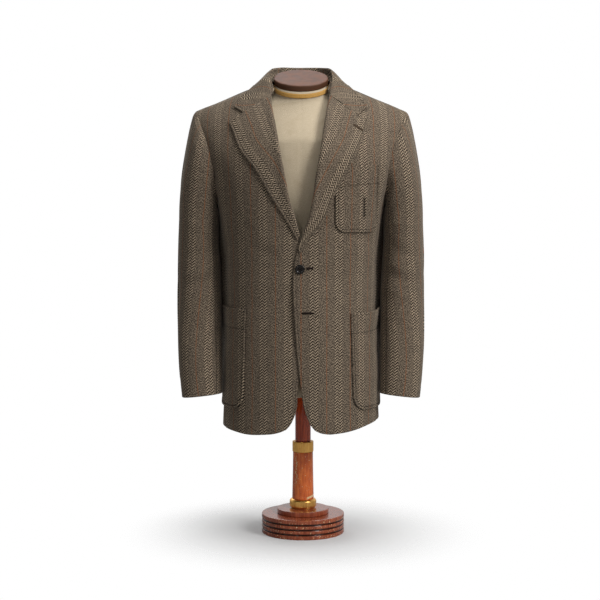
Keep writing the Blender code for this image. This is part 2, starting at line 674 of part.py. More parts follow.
def shoulder_point(x, drop, lift):
    # a point on the shoulder: before the seam where drop is below 0, behind it above 0
    before = ridge(x) - np.abs(drop) * CHEST_ROUND
    behind = ridge(x) - np.abs(drop) * BACK_ROUND
    return np.where((drop < 0)[:, None], cloth(x, before, -1, lift)[0], cloth(x, behind, 1, lift)[0])


def collar_rails(count):
    # the collar's roll and the leaf's outer edge, from one gorge seam round to the other
    x, y, z, edge_x, drop = spread(COLLAR.values(), count)
    edge = shoulder_point(edge_x, drop, np.full(len(edge_x), COLLAR_LIFT))
    return across([x, y, z], count), across(edge.T, count)


def build_collar(gorges):
    count = COLLAR_ROWS
    roll, edge = collar_rails(count)
    s = LAPEL_COLUMNS
    leaf = roll[:, None] + (edge - roll)[:, None] * s[None, :, None]
    # each end takes the gorge seam's own points, and fades into straight lines
    on_gorge = (s < 1)[:, None]
    for end, lead in ((0, 1), (-1, -1)):
        seam = gorges[side_name(lead)][0] * np.array([lead, 1, 1])
        kink = np.where(on_gorge, seam - leaf[end], 0)
        for step in range(COLLAR_FADE):
            leaf[end + lead * step] += kink * (1 - step / COLLAR_FADE)**2
    # rounded between the roll and the edge, but not at the gorge
    rows = np.arange(len(leaf))
    clear_of_end = ease(np.minimum(rows, rows[::-1]) / COLLAR_FADE)[:, None, None]
    bulge = COLLAR_BULGE * np.sin(math.pi * s**COLLAR_BULGE_CURVE)[None, :, None]
    leaf += clear_of_end * bulge * outward(grid_normals(leaf), count)
    normal = outward(grid_normals(leaf), count)
    for end, lead in ((0, 1), (-1, -1)):
        seam_normal = gorges[side_name(lead)][1] * np.array([lead, 1, 1])
        normal[end] = np.where(on_gorge, seam_normal, normal[end])
    outer, inner = pull_in(leaf, leaf - WALL * normal, ("bottom", "top"))
    place("collar_fall", wall_mesh("collar_fall", finish(outer, 1), finish(inner, 1)), "tweed")


def outward(normal, middle):
    # the normals of a collar grid, turned so that they point backwards at the centre back
    return normal if normal[middle - 1, 2, 1] > 0 else -normal


def build_stand():
    count = STAND_ROWS
    roll = collar_rails(count)[0]
    foot = across(spread(STAND_FOOT.values(), count), count)
    s = np.linspace(0, 1, STAND_COLUMNS)
    stand = foot[:, None] + (roll - foot)[:, None] * s[None, :, None]
    normal = outward(grid_normals(stand), count)
    outer = stand - (WALL + LEAF_GAP) * normal
    outer[:, -1, 2] -= LEAF_GAP
    inner = outer - WALL * normal
    place("collar_stand", wall_mesh("collar_stand", finish(outer, 1), finish(inner, 1)), "tweed")


def rounded_bottom(s, radius):
    # height of a patch pocket's lower edge, with quarter-round corners
    near = np.minimum(np.minimum(s, 1 - s) / radius, 1)
    return radius * (1 - np.sqrt(np.clip(1 - (1 - near)**2, 0, 1)))


def build_lower_pocket(row):
    side, start, sweep, top, bottom = (LOWER_POCKET[name][row] for name in LOWER_POCKET)
    s, t = POCKET_COLUMNS, POCKET_ROWS[:, None]
    base = bottom + LOWER_POCKET_WIDTH * rounded_bottom(s, LOWER_POCKET_ROUND)
    mouth = top - LOWER_POCKET_TILT * s
    height = base + (mouth - base) * t
    outer, normal = around(start + sweep * s, height, WALL + POCKET_LIFT)
    sew("pocket_lower_" + side_name(side), outer, outer - WALL * normal, side)


def build_chest_pocket():
    s, t = POCKET_COLUMNS, POCKET_ROWS[:, None]
    (left, right), low, high = (CHEST_POCKET[name] for name in ("x", "bottom", "top"))
    x = left + (right - left) * s
    base = low[0] + (low[1] - low[0]) * s + (right - left) * rounded_bottom(s, CHEST_POCKET_ROUND)
    mouth = high[0] + (high[1] - high[0]) * s
    z = base + (mouth - base) * t
    x = np.broadcast_to(x, z.shape)
    lift = WALL + POCKET_LIFT + front_lift(1, x, z)
    outer, normal = cloth(x, z, -1, lift)
    sew("pocket_chest", outer, outer - WALL * normal, 1)


def build_button(name, height, side):
    # lying on the front of that side
    profile = zip(BUTTON_PROFILE["radius"] * BUTTON_RADIUS, BUTTON_PROFILE["height"] * BUTTON_THICK)
    made = turned(name, profile, "horn", BUTTON_STEPS)
    seat = front_lift(side, BUTTON_X, height) + BUTTON_SEAT
    point, normal = cloth(BUTTON_X, height, -1, seat)
    turn = Vector(normal).to_track_quat("Z", "Y").to_matrix().to_4x4()
    made.matrix_world = Matrix.Translation(finish(point, 1)) @ turn


# ---- the dress form --------------------------------------------------------------------------
def neck_radius(z, c, s):
    # distance from the form's axis to the neck, which has its own centre
    half_width, half_depth, centre = (smooth(z, NECK["height"], NECK[name])
                                      for name in ("half_width", "half_depth", "centre"))
    shift = SHOULDER_Y - centre
    a = (c / half_width)**2 + (s / half_depth)**2
    b = s * shift / half_depth**2
    neck = (-b + np.sqrt(b**2 - a * ((shift / half_depth)**2 - 1))) / a
    low, high = NECK_START
    return neck * ease((z - low) / (high - low))


def form_radius(z, bearing):
    # distance from the form's axis to its surface: its own outline, kept inside the coat
    c, s = np.cos(bearing), np.sin(bearing)
    width, front, back = (smooth(z, FORM["height"], FORM[name])
                          for name in ("half_width", "front", "back"))
    reach = np.where(s < 0, front, back)
    low = np.zeros_like(bearing)
    high = (np.abs(c / width)**SQUARE + np.abs(s / reach)**SQUARE)**(-1 / SQUARE)
    near, far = NECK_DIP_REACH
    for _ in range(HALVINGS):
        middle = (low + high) / 2
        x, y = middle * c, SHOULDER_Y + middle * s
        over = z + FORM_CLEAR_Z + NECK_DIP * (1 - ease((np.abs(x) - near) / (far - near)))
        inside = ((y > depth(x, over, -1) + FORM_CLEAR_Y) & (y < depth(x, over, 1) - FORM_CLEAR_Y)
                  & (ridge(x) > over))
        low, high = np.where(inside, middle, low), np.where(inside, high, middle)
    return (low**NECK_BLEND + neck_radius(z, c, s)**NECK_BLEND)**(1 / NECK_BLEND)


def neck_top(y):
    # height of the neck's tilted top, just under the cap
    return CAP_HEIGHT - CAP_THICK * math.hypot(1, NECK_TILT) - SEAM + NECK_TILT * y


def form_line(bearing, height_at, out=0.0):
    # a line round the form whose height is a function of y
    z = height_at(np.zeros_like(bearing)) + np.zeros_like(bearing)
    for _ in range(SETTLINGS):
        radius = form_radius(z, bearing)
        y = SHOULDER_Y + radius * np.sin(bearing)
        z = height_at(y) + np.zeros_like(bearing)
    return np.stack([(radius + out) * np.cos(bearing),
                     SHOULDER_Y + (radius + out) * np.sin(bearing), z], axis=-1)


def bearings(crowd=0.0):
    even = np.linspace(0, 2 * math.pi, FORM_COLUMNS, endpoint=False)
    return even - crowd * np.sin(2 * even)


def form_rings():
    bearing = bearings(FORM_CROWD)
    top = FORM_ROWS[-1]
    level = [form_line(bearing, lambda y, z=z: z) for z in FORM_ROWS]
    neck = [form_line(bearing, lambda y, share=share: top + (neck_top(y) - top) * share)
            for share in NECK_ROWS]
    return np.array(level + neck)


def tube_mesh(name, rings):
    # closed solid through rings, each end capped by a fan
    count, around_count = rings.shape[:2]
    index = np.arange(count * around_count).reshape(count, around_count)
    ahead = np.roll(index, -1, axis=1)
    walls = np.stack([index[:-1], ahead[:-1], ahead[1:], index[1:]], axis=-1).reshape(-1, 4)
    points = np.concatenate([rings.reshape(-1, 3), [rings[0].mean(axis=0), rings[-1].mean(axis=0)]])
    low, high = count * around_count, count * around_count + 1
    faces = walls.tolist()
    faces += [(low, b, a) for a, b in zip(index[0], ahead[0])]
    faces += [(high, a, b) for a, b in zip(index[-1], ahead[-1])]
    mesh = bpy.data.meshes.new(name)
    mesh.from_pydata(points.tolist(), [], faces)
    return mesh


def build_form():
    rings = form_rings()
    place("form_body", tube_mesh("form_body", finish(rings, 1)), "linen")


def build_braid():
    # a flat band round the top of the neck, four lines joined into a ring
    lines = [form_line(bearings(), lambda y, drop=drop: neck_top(y) - drop, out)
             for drop, inside, outside in zip(*BRAID.values()) for out in (inside, outside)]
    loop = finish(np.array([lines[0], lines[1], lines[3], lines[2]]), 1)
    index = np.arange(4 * FORM_COLUMNS).reshape(4, FORM_COLUMNS)
    ahead = np.roll(index, -1, axis=1)
    faces = np.stack([index, np.roll(index, -1, axis=0), np.roll(ahead, -1, axis=0), ahead], axis=-1)
    mesh = bpy.data.meshes.new("neck_braid")
    mesh.from_pydata(loop.reshape(-1, 3).tolist(), [], faces.reshape(-1, 4).tolist())
    place("neck_braid", mesh, "braid")


def build_cap():
    bpy.ops.mesh.primitive_cylinder_add(vertices=CAP_SIDES, radius=1, depth=CAP_THICK)
    made = bpy.context.object
    mesh = made.data
    mesh.transform(Matrix.Diagonal((CAP_RADIUS[0], CAP_RADIUS[1], 1, 1)))
    bpy.data.objects.remove(made)
    tilt = math.atan(NECK_TILT)
    top = Matrix.Translation((SET_OVER, 0, CAP_HEIGHT)) @ Matrix.Rotation(tilt, 4, "X")
    cap = place("neck_cap", mesh, "cap", top @ Matrix.Translation((0, 0, -CAP_THICK / 2)))
    bevel = cap.modifiers.new("round", "BEVEL")
    bevel.width = CAP_BEVEL
    bevel.segments = 2
    bevel.limit_method = "ANGLE"
    bevel.angle_limit = CREASE


# ---- the stand ---------------------------------------------------------------------------------
def turned(name, profile, finish_name, steps=TURNING_STEPS):
    # a profile of radius and height, from the top of the axis down to its foot
    mesh = bpy.data.meshes.new(name)
    points = [(radius, 0, height) for radius, height in profile]
    mesh.from_pydata(points, [(i, i + 1) for i in range(len(points) - 1)], [])
    made = place(name, mesh, finish_name)
    screw = made.modifiers.new("turn", "SCREW")
    screw.angle = 2 * math.pi
    screw.steps = steps
    screw.render_steps = steps
    screw.use_smooth_shade = True
    screw.use_merge_vertices = True
    screw.merge_threshold = 0.00001
    return made


def disc_profile(radius, low, high, corner):
    # a plain disc or post with cut corners
    return [(0, high), (radius - corner, high), (radius, high - corner),
            (radius, low + corner), (radius - corner, low), (0, low)]


def plinth_profile():
    # stacked rounded ribs with grooves between them
    radius, top = PLINTH
    wide, deep = PLINTH_GROOVE
    pitch = top / PLINTH_RIBS
    profile = [(0, top)]
    for rib in range(PLINTH_RIBS):
        last = rib == PLINTH_RIBS - 1
        high = top - rib * pitch - (wide / 2 if rib else 0)
        low = top - (rib + 1) * pitch + (0 if last else wide / 2)
        profile += [(radius - PLINTH_ROUND, high), (radius, high - PLINTH_ROUND),
                    (radius, low + PLINTH_ROUND), (radius - PLINTH_ROUND, low)]
        if not last:
            floor = radius - deep - PLINTH_ROUND
            profile += [(floor, low), (floor, low - wide)]
    return profile + [(0, 0)]


def build_stand_post():
    turned("base_plinth", plinth_profile(), "wood")
    turned("base_step", disc_profile(*STEP), "wood")
    turned("ring_lower", zip(*LOWER_RING.values()), "brass")
    turned("post_lower", zip(*LOWER_POST.values()), "wood")
    turned("ring_upper", disc_profile(*UPPER_RING), "brass")
    turned("post_upper", disc_profile(*UPPER_POST), "wood")


def clear_scene():
    for found in list(bpy.data.objects):
        bpy.data.objects.remove(found)
    group = bpy.data.collections.new(COLLECTION)
    bpy.context.scene.collection.children.link(group)


def main():
    clear_scene()
    gorges = {}
    for side in (1, -1):
        edges = build_body(side)
        build_sleeve(side, edges)
        gorges[side_name(side)] = build_lapel(side)
    build_collar(gorges)
    build_stand()
    for row in range(2):
        build_lower_pocket(row)
    build_chest_pocket()
    build_button("button_upper", UPPER_BUTTON, 1)
    build_button("button_lower", LOWER_BUTTON, -1)
    build_form()
    build_braid()
    build_cap()
    build_stand_post()


main()
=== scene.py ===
import json
import math
import bpy
import numpy as np
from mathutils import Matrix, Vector

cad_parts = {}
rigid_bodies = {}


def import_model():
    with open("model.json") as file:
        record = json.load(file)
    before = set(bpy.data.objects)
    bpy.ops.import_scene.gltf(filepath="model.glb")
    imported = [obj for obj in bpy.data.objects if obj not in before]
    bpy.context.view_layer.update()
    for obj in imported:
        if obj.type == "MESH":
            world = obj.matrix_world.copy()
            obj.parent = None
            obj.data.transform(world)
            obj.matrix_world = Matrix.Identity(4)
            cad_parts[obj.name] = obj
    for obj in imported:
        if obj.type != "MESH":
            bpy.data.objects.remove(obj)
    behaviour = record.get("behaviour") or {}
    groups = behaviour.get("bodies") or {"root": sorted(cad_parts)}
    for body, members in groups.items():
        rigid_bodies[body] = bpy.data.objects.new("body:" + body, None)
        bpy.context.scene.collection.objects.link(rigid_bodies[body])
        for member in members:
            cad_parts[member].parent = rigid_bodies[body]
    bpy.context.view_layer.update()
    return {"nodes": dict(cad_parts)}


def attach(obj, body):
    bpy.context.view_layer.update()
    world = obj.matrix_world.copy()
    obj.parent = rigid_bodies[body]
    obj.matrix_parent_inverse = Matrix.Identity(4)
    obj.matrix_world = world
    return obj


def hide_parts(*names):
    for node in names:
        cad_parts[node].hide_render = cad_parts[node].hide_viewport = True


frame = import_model()
nodes = frame["nodes"]


def columns(names, *rows, unit=1.0):
    # a short table as one array for each named column
    return dict(zip(names.split(), np.array(rows, dtype=float).T / unit))


def millimetres(names, *rows):
    # a table of lengths in millimetres, as arrays in metres
    return columns(names, *rows, unit=1000.0)


def foldRows(*rows):
    # soft folds in millimetres: where each starts and ends, its bow, its width and its height
    return millimetres("x0 z0 x1 z1 bow width height", *rows)


def smooth(x, xs, ys):
    # cubic curve through the rows of a table, held level past its ends
    x = np.asarray(x, dtype=float)
    slope = np.gradient(ys, xs)
    i = np.clip(np.searchsorted(xs, x, side="right") - 1, 0, len(xs) - 2)
    h = xs[i + 1] - xs[i]
    t = np.clip((x - xs[i]) / h, 0, 1)
    level = ys[i] + (ys[i + 1] - ys[i]) * (3 * t**2 - 2 * t**3)
    return level + h * (slope[i] * (t**3 - 2 * t**2 + t) + slope[i + 1] * (t**3 - t**2))


def ease(t):
    t = np.clip(t, 0, 1)
    return t * t * (3 - 2 * t)


def rising(value, span):
    # from 0 to 1 as the value crosses a span, softly at both ends
    low, high = span
    return ease((value - low) / (high - low))


def readOff(rows, at, *names):
    # columns of a table, read at places along its first column
    first = next(iter(rows.values()))
    found = [smooth(at, first, rows[name]) for name in names]
    return found if len(found) > 1 else found[0]


def bell(x, width):
    # a soft hump of height 1 at x = 0
    return np.exp(-(x / width)**2)


def turns(count):
    # even bearings all the way round, in radians
    return np.linspace(0, 2 * math.pi, count, endpoint=False)


def unit(v):
    return v / np.maximum(np.linalg.norm(v, axis=-1, keepdims=True), 1e-12)


def waver(x, y, seed, waves=5):
    # slow unevenness from -1 to 1: a sum of plane waves in fixed directions
    order = np.arange(1, waves + 1)[:, None, None]
    turn = order * 2.399 + seed * 1.7
    pitch = 1 + 0.37 * order
    total = np.sin(pitch * (np.cos(turn) * x + np.sin(turn) * y) + seed * order).sum(axis=0)
    return total / math.sqrt(waves * 2)


def uneven(wander, x, y, side=0):
    # slow unevenness of the cloth: its height, how fast it goes across and up, and its start
    height, across, up, seed = wander
    return height * waver(x * across, y * up, seed + side)


# the coat's body, in metres: the same sizes as its solids
coat = {"wall": 0.0025, "setOver": -0.0045, "square": 2.35, "drape": (84.0, 106.0),
        "shoulder": 0.236, "shoulderHeight": 0.955, "slope": 0.42, "shoulderY": 0.012,
        "neckRound": 0.050, "chestRound": 0.195, "backRound": 0.125, "chestFull": 1.5,
        "backFull": 1.6, "ridgeWidth": 0.0004, "neckPoint": 0.074, "backNeck": 1.010,
        "seamReach": (0.955, 0.968), "frontCorner": 0.775, "backCorner": 0.785,
        "underarm": 0.745, "underarmCurve": 0.8, "hemBack": 0.262}
bodyRows = millimetres("height frontWidth backWidth front back",
    (235,  176.5, 179,   157, 152),
    (330,  173.5, 178.5, 152, 149),
    (430,  168.5, 181.5, 146, 142),
    (520,  165.5, 186,   140, 130),
    (600,  167,   190,   137, 120),
    (670,  172.5, 191.5, 139, 124),
    (740,  184,   192,   143, 131),
    (800,  200,   201.5, 143, 135),
    (860,  222,   222,   138, 134),
    (920,  245,   245,   128, 128),
    (970,  262,   262,   118, 122),
    (1030, 270,   270,   110, 115))
armhole = millimetres("height front back",
    (800, 189,   190),
    (828, 192,   193.5),
    (850, 197,   197.5),
    (878, 205.5, 204.5),
    (904, 215.5, 213.5),
    (930, 225.5, 224.5),
    (955, 236,   236))
frontEdge = millimetres("height left right",
    (257.5,  30,    34),
    (268,    21.7,  24.5),
    (282,    14.5,  17),
    (300.6,  8,     10.5),
    (355,    -1.2,  7),
    (392,    -5.7,  2),
    (438,    -10.3, -6.5),
    (512,    -14.8, -13),
    (575,    -17.8, -17.2),
    (602,    -16.8, -16.5),
    (658,    -5.7,  -5),
    (678,    1,     1.2),
    (718,    15,    11.8),
    (760,    24,    24),
    (811,    31.2,  34),
    (869,    41.6,  45.2),
    (915,    48.7,  53.5),
    (961,    57,    62.7),
    (995,    65,    67),
    (1017.5, 74,    74))
hem = millimetres("x left right",
    (30,  257.5, 261),
    (40,  252.5, 255.5),
    (56,  248.7, 250.2),
    (85,  249.2, 246.2),
    (120, 254.2, 244.3),
    (150, 261.5, 247.5),
    (172, 266,   250))


def sideName(side):
    return "left" if side > 0 else "right"


def bodyAt(z, face):
    # half width and reach of the outline's front or back half
    return readOff(bodyRows, z, *(("frontWidth", "front") if face < 0 else ("backWidth", "back")))


def ridge(x):
    # height of the shoulder line: a slope that levels off near the neck
    return coat["shoulderHeight"] + coat["slope"] * (
        coat["shoulder"] - np.sqrt(np.asarray(x)**2 + coat["neckRound"]**2))


def depthAt(x, z, face):
    # y of the coat's face: a squared ellipse, rounded in towards the shoulder line
    width, reach = bodyAt(z, face)
    full = reach * np.clip(1 - np.abs(x / width)**coat["square"], 0, None)**(1 / coat["square"])
    rounding, power = ((coat["chestRound"], coat["chestFull"]) if face < 0
                       else (coat["backRound"], coat["backFull"]))
    drop = np.clip((ridge(x) - z) / rounding, 0, 1)
    filled = (1 - (1 - drop)**2)**(1 / power)
    return coat["shoulderY"] * (1 - filled) + face * full * filled


def facingAt(x, z, face):
    # outward normal from small steps across and up; along the shoulder both faces share one
    step = coat["ridgeWidth"] / 40
    inside = np.minimum(z, ridge(np.abs(x) + step) - coat["ridgeWidth"])
    across = (depthAt(x + step, inside, face) - depthAt(x - step, inside, face)) / (2 * step)
    up = (depthAt(x, inside + step, face) - depthAt(x, inside - step, face)) / (2 * step)
    normal = face * np.stack([-across, np.ones_like(across), -up], axis=-1)
    top = coat["slope"] * x / np.sqrt(x**2 + coat["neckRound"]**2)
    crest = np.stack([top, np.zeros_like(top), np.ones_like(top)], axis=-1)
    return unit(np.where((ridge(x) - z < coat["ridgeWidth"])[..., None], crest, normal))


def clothAt(x, z, face, lift=0.0):
    # points on a face of the coat, moved out along their normals, and the normals
    x, z = np.broadcast_arrays(np.asarray(x, dtype=float), np.asarray(z, dtype=float))
    normal = facingAt(x, z, face)
    points = np.stack([x, depthAt(x, z, face), z], axis=-1)
    return points + np.asarray(lift)[..., None] * normal, normal


def outlineAt(angle, z):
    # a bearing about the body, from 0 at the front to 180 degrees at the back
    sine, cosine = np.sin(np.radians(angle)), np.cos(np.radians(angle))
    (frontWidth, front), (backWidth, back) = bodyAt(z, -1), bodyAt(z, 1)
    width = frontWidth + (backWidth - frontWidth) * rising(angle, coat["drape"])
    power = 2 / coat["square"]
    y = -np.sign(cosine) * np.where(cosine > 0, front, back) * np.abs(cosine)**power
    return np.stack([width * np.abs(sine)**power, y, z], axis=-1)


def aroundAt(angle, z, lift=0.0):
    # points by bearing and height, moved out along their normals, and the normals
    angle, z = np.broadcast_arrays(np.asarray(angle, dtype=float), np.asarray(z, dtype=float))
    turn, rise = 0.5, 0.001
    along = outlineAt(angle + turn, z) - outlineAt(angle - turn, z)
    up = outlineAt(angle, z + rise) - outlineAt(angle, z - rise)
    normal = unit(np.cross(along, up))
    return outlineAt(angle, z) + np.asarray(lift)[..., None] * normal, normal


def coons(bottom, top, inner, outer, s, t):
    # patch between four edges: the two blends of opposite edges less the blend of the corners
    s, t = s[None, :, None], t[:, None, None]
    across = (1 - t) * bottom[None] + t * top[None]
    along = (1 - s) * inner[:, None] + s * outer[:, None]
    corners = ((1 - t) * ((1 - s) * bottom[0] + s * bottom[-1])
               + t * ((1 - s) * top[0] + s * top[-1]))
    return across + along - corners


def pair(x, z):
    x, z = np.broadcast_arrays(x, z)
    return np.stack([x, z], axis=-1)


def spaced(size, step, near=(), far=()):
    # places from 0 to 1 along an edge: given distances from its two ends, even steps between
    near, far = np.array((0.0, *near)), size - np.array((0.0, *far))[::-1]
    count = max(2, round((far[0] - near[-1]) / step) + 1)
    between = np.linspace(near[-1], far[0], count)[1:-1]
    return np.concatenate([near, between, far]) / size


grids = {"step": 0.0031, "backStep": 0.0042, "sleeveStep": 0.0041, "trimStep": 0.0024,
         "edge": (0.0002, 0.0006, 0.0011, 0.0017, 0.0026, 0.0037, 0.0047, 0.0054, 0.0060,
                  0.0066, 0.0073, 0.0083, 0.0100),
         "seam": (0.0002, 0.0006, 0.0011, 0.0017, 0.0028, 0.0045)}


def walked(points, axis):
    # distance walked over a grid of points from its first row or column
    step = np.linalg.norm(np.diff(points, axis=axis), axis=-1)
    first = np.zeros_like(np.take(step, [0], axis=axis))
    return np.concatenate([first, np.cumsum(step, axis=axis)], axis=axis)


def rimDistances(points):
    # how far each point of a grid lies from its four edges, as walked over the cloth
    across, up = walked(points, 1), walked(points, 0)
    return {"start": across, "end": across[:, -1:] - across, "bottom": up, "top": up[-1:] - up}


def rounded(distance):
    # how far the cloth's face falls away at a cut or turned edge: a quarter round
    radius = coat["wall"] / 2
    near = np.clip(1 - distance / radius, 0, 1)
    return radius * (1 - np.sqrt(1 - near**2))


def sunk(distance, depth=0.0008, width=0.0026):
    # the cloth drawn down into a sewn seam
    return depth * np.exp(-distance / width)


turnUp = {"step": 0.0004, "soft": 0.006, "front": 0.034, "back": 0.036, "cuff": 0.040}


def hemStep(distance, where):
    # a turned-up hem shows as a shallow step above it
    return turnUp["step"] * (1 - ease((distance - turnUp[where]) / turnUp["soft"]))


stitching = {"inset": 0.0060, "depth": 0.00075, "width": 0.0011, "puff": 0.00045}


def swelled(distance, amount=1.0):
    # a stitched edge: a narrow groove at the row of stitches, the cloth puffed outside it
    s = stitching
    groove = -s["depth"] * bell(distance - s["inset"], s["width"])
    puff = s["puff"] * np.sin(np.pi * np.clip(distance / s["inset"], 0, 1))
    return amount * (groove + puff)


def paintedStitchShade(distance, amount=0.45):
    # painted shade along a row of stitches: a darker line where the stitch groove lies
    return amount * bell(distance - stitching["inset"], stitching["width"])


def creased(x, z, folds):
    # soft troughs and ridges along bowed lines from one place to another, fading at their ends
    total = np.zeros(np.broadcast(x, z).shape)
    for x0, z0, x1, z1, bow, width, height in zip(*folds.values()):
        length = math.hypot(x1 - x0, z1 - z0)
        ux, uz = (x1 - x0) / length, (z1 - z0) / length
        along = ((x - x0) * ux + (z - z0) * uz) / length
        t = np.clip(along, 0, 1)
        off = -(x - x0) * uz + (z - z0) * ux - bow * 4 * t * (1 - t)
        past = np.abs(along - t) * length
        fade = np.sin(np.pi * np.clip(along * 0.86 + 0.07, 0, 1))**0.8
        total += height * fade * bell(off, width) * bell(past, width * 1.5)
    return total


# where the weave lies on the body: steps across and up are measured over the curved cloth
def grainTables():
    heights, angles = np.linspace(0.23, 1.03, 161), np.linspace(0, 180, 361)
    z, angle = np.meshgrid(heights, angles, indexing="ij")
    points = outlineAt(angle, z)
    x = points[..., 0]
    y = np.where(angle < 90, depthAt(x, z, -1), depthAt(x, z, 1))
    points = np.stack([x, y, z], axis=-1)
    return {"heights": heights, "angles": angles, "across": walked(points, 1),
            "up": walked(points, 0)}


grain = grainTables()


def readTable(values, angle, z):
    # value between the four nearest entries of a table by height and bearing
    i = np.clip((z - grain["heights"][0]) / (grain["heights"][1] - grain["heights"][0]), 0,
                len(grain["heights"]) - 1.001)
    j = np.clip(angle / grain["angles"][1], 0, len(grain["angles"]) - 1.001)
    a, b = i.astype(int), j.astype(int)
    i, j = i - a, j - b
    return ((values[a, b] * (1 - j) + values[a, b + 1] * j) * (1 - i)
            + (values[a + 1, b] * (1 - j) + values[a + 1, b + 1] * j) * i)


def weaveAt(angle, z):
    # across the grain and along it, in metres
    return np.stack([readTable(grain["across"], angle, z), readTable(grain["up"], angle, z)],
                    axis=-1)


def bearingOf(x, z, face):
    width = bodyAt(z, face)[0]
    sine = np.clip(np.abs(x / width), 0, 1)**(coat["square"] / 2)
    angle = np.degrees(np.arcsin(sine))
    return np.where(x < 0, -angle, angle) if face < 0 else 180 - angle


def panelWeave(x, z, face):
    # the same on a panel, with x below 0 carried on past the middle
    angle = bearingOf(x, z, face)
    weave = weaveAt(np.abs(angle), z)
    return weave * np.where(angle < 0, -1, 1)[..., None] ** np.array([1, 0])


def toWorld(points, side):
    return points * np.array([side, 1, 1]) + np.array([coat["setOver"], 0, 0])


def gridNormals(points, closed=False):
    if closed:
        across = np.roll(points, -1, axis=1) - np.roll(points, 1, axis=1)
    else:
        across = np.gradient(points, axis=1)
    return unit(np.cross(across, np.gradient(points, axis=0)))


def buildMesh(name, points, faces, uv=None, seam=None):
    # points and quads as whole arrays; uv is one pair for each corner of each face, and seam is
    # how much painted shade darkens the cloth at each point, in seams, stitch grooves and edges
    mesh = bpy.data.meshes.new(name)
    mesh.vertices.add(len(points))
    mesh.vertices.foreach_set("co", np.ascontiguousarray(points, dtype=np.float32).ravel())
    sides = faces.shape[1]
    mesh.loops.add(faces.size)
    mesh.loops.foreach_set("vertex_index", faces.astype(np.int32).ravel())
    mesh.polygons.add(len(faces))
    mesh.polygons.foreach_set("loop_start", np.arange(len(faces), dtype=np.int32) * sides)
    mesh.update(calc_edges=True)
    if uv is not None:
        layer = mesh.uv_layers.new(name="weave")
        layer.data.foreach_set("uv", np.ascontiguousarray(uv, dtype=np.float32).ravel())
    if seam is not None:
        mesh.attributes.new("seam", "FLOAT", "POINT").data.foreach_set(
            "value", np.clip(seam, 0, 1).astype(np.float32).ravel())
    mesh.shade_smooth()
    mesh.validate()
    made = bpy.data.objects.new(name, mesh)
    bpy.context.scene.collection.objects.link(made)
    return made


def gridFaces(index):
    corners = [index[:-1, :-1], index[:-1, 1:], index[1:, 1:], index[1:, :-1]]
    return np.stack(corners, axis=-1).reshape(-1, 4)


def looksIn(points, faces, out):
    # whether most of the faces look against the directions given
    corners = points[faces]
    turn = np.cross(corners[:, 2] - corners[:, 0], corners[:, -1] - corners[:, 1])
    return np.sum(turn * out) < 0


def wallPiece(name, outer, inner, uv, seam=None):
    # closed wall between two grids of points, with rims on its four sides
    rows, count = outer.shape[:2]
    index = np.arange(rows * count).reshape(rows, count)
    loop = np.concatenate([index[0, :-1], index[:-1, -1], index[-1, :0:-1], index[:0:-1, 0]])
    ahead, far = np.roll(loop, -1), rows * count
    quads = gridFaces(index)
    rims = np.stack([ahead, loop, loop + far, ahead + far], axis=-1)
    faces = np.concatenate([quads, quads[:, ::-1] + far, rims])
    points = np.concatenate([outer.reshape(-1, 3), inner.reshape(-1, 3)])
    if looksIn(points, quads, (outer - inner)[:-1, :-1].reshape(-1, 3)):
        faces = faces[:, ::-1]
    weave = np.concatenate([uv.reshape(-1, 2), uv.reshape(-1, 2)])
    seam = np.zeros((rows, count)) if seam is None else np.broadcast_to(seam, (rows, count))
    return buildMesh(name, points, faces, weave[faces], seam=np.concatenate([seam, seam]))


def roundPiece(name, rings, uv=None):
    # closed solid through rings of points, with a fan at each end
    rows, count = rings.shape[:2]
    index = np.arange(rows * count).reshape(rows, count)
    index = np.concatenate([index, index[:, :1]], axis=1)
    ends = np.array([rings[0].mean(axis=0), rings[-1].mean(axis=0)])
    points = np.concatenate([rings.reshape(-1, 3), ends])
    quads = gridFaces(index)
    low, high = rows * count, rows * count + 1
    lowFan = np.stack([np.full(count, low), index[0, 1:], index[0, :-1]], axis=-1)
    highFan = np.stack([np.full(count, high), index[-1, :-1], index[-1, 1:]], axis=-1)
    triangles = np.concatenate([quads[:, [0, 1, 2]], quads[:, [0, 2, 3]], lowFan, highFan])
    weave = None
    if uv is not None:
        # the same faces over a grid with one more column, so that the seam has its own places
        own = np.arange(rows * (count + 1)).reshape(rows, count + 1)
        flat = gridFaces(own)
        flat = uv.reshape(-1, 2)[np.concatenate([flat[:, [0, 1, 2]], flat[:, [0, 2, 3]]])]
        weave = np.concatenate([flat, np.zeros((2 * count, 3, 2))])
    if looksIn(points, triangles, points[triangles[:, 0]] - points.mean(axis=0)):
        triangles = triangles[:, ::-1]
        weave = None if weave is None else weave[:, ::-1]
    return buildMesh(name, points, triangles, weave)


def ringPiece(name, rings):
    # closed ring: rows go round the section, columns round the axis
    rows, count = rings.shape[:2]
    index = np.arange(rows * count).reshape(rows, count)
    index = np.concatenate([index, index[:, :1]], axis=1)
    index = np.concatenate([index, index[:1]], axis=0)
    faces = gridFaces(index)
    points = rings.reshape(-1, 3)
    if looksIn(points, faces, (rings - rings.mean(axis=0)[None]).reshape(-1, 3)):
        faces = faces[:, ::-1]
    return buildMesh(name, points, faces)


def areaOf(points):
    # area of a grid of points, from the two diagonals of each cell
    a = points[1:, 1:] - points[:-1, :-1]
    b = points[1:, :-1] - points[:-1, 1:]
    return float(np.linalg.norm(np.cross(a, b), axis=-1).sum() / 2)


def makeCloth(node, outer, normal, fall, weave, shade, side):
    # a sheet of cloth on its solid's own form: the face drawn in by fall at its edges, the back
    # a wall behind it; it rides on the part and stands for the solid
    piece = wallPiece(node + "_cloth", toWorld(outer - fall[..., None] * normal, side),
                      toWorld(outer - (coat["wall"] - fall)[..., None] * normal, side), weave,
                      shade)
    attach(piece, "root")
    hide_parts(node)
    print(node, round(areaOf(outer), 4))


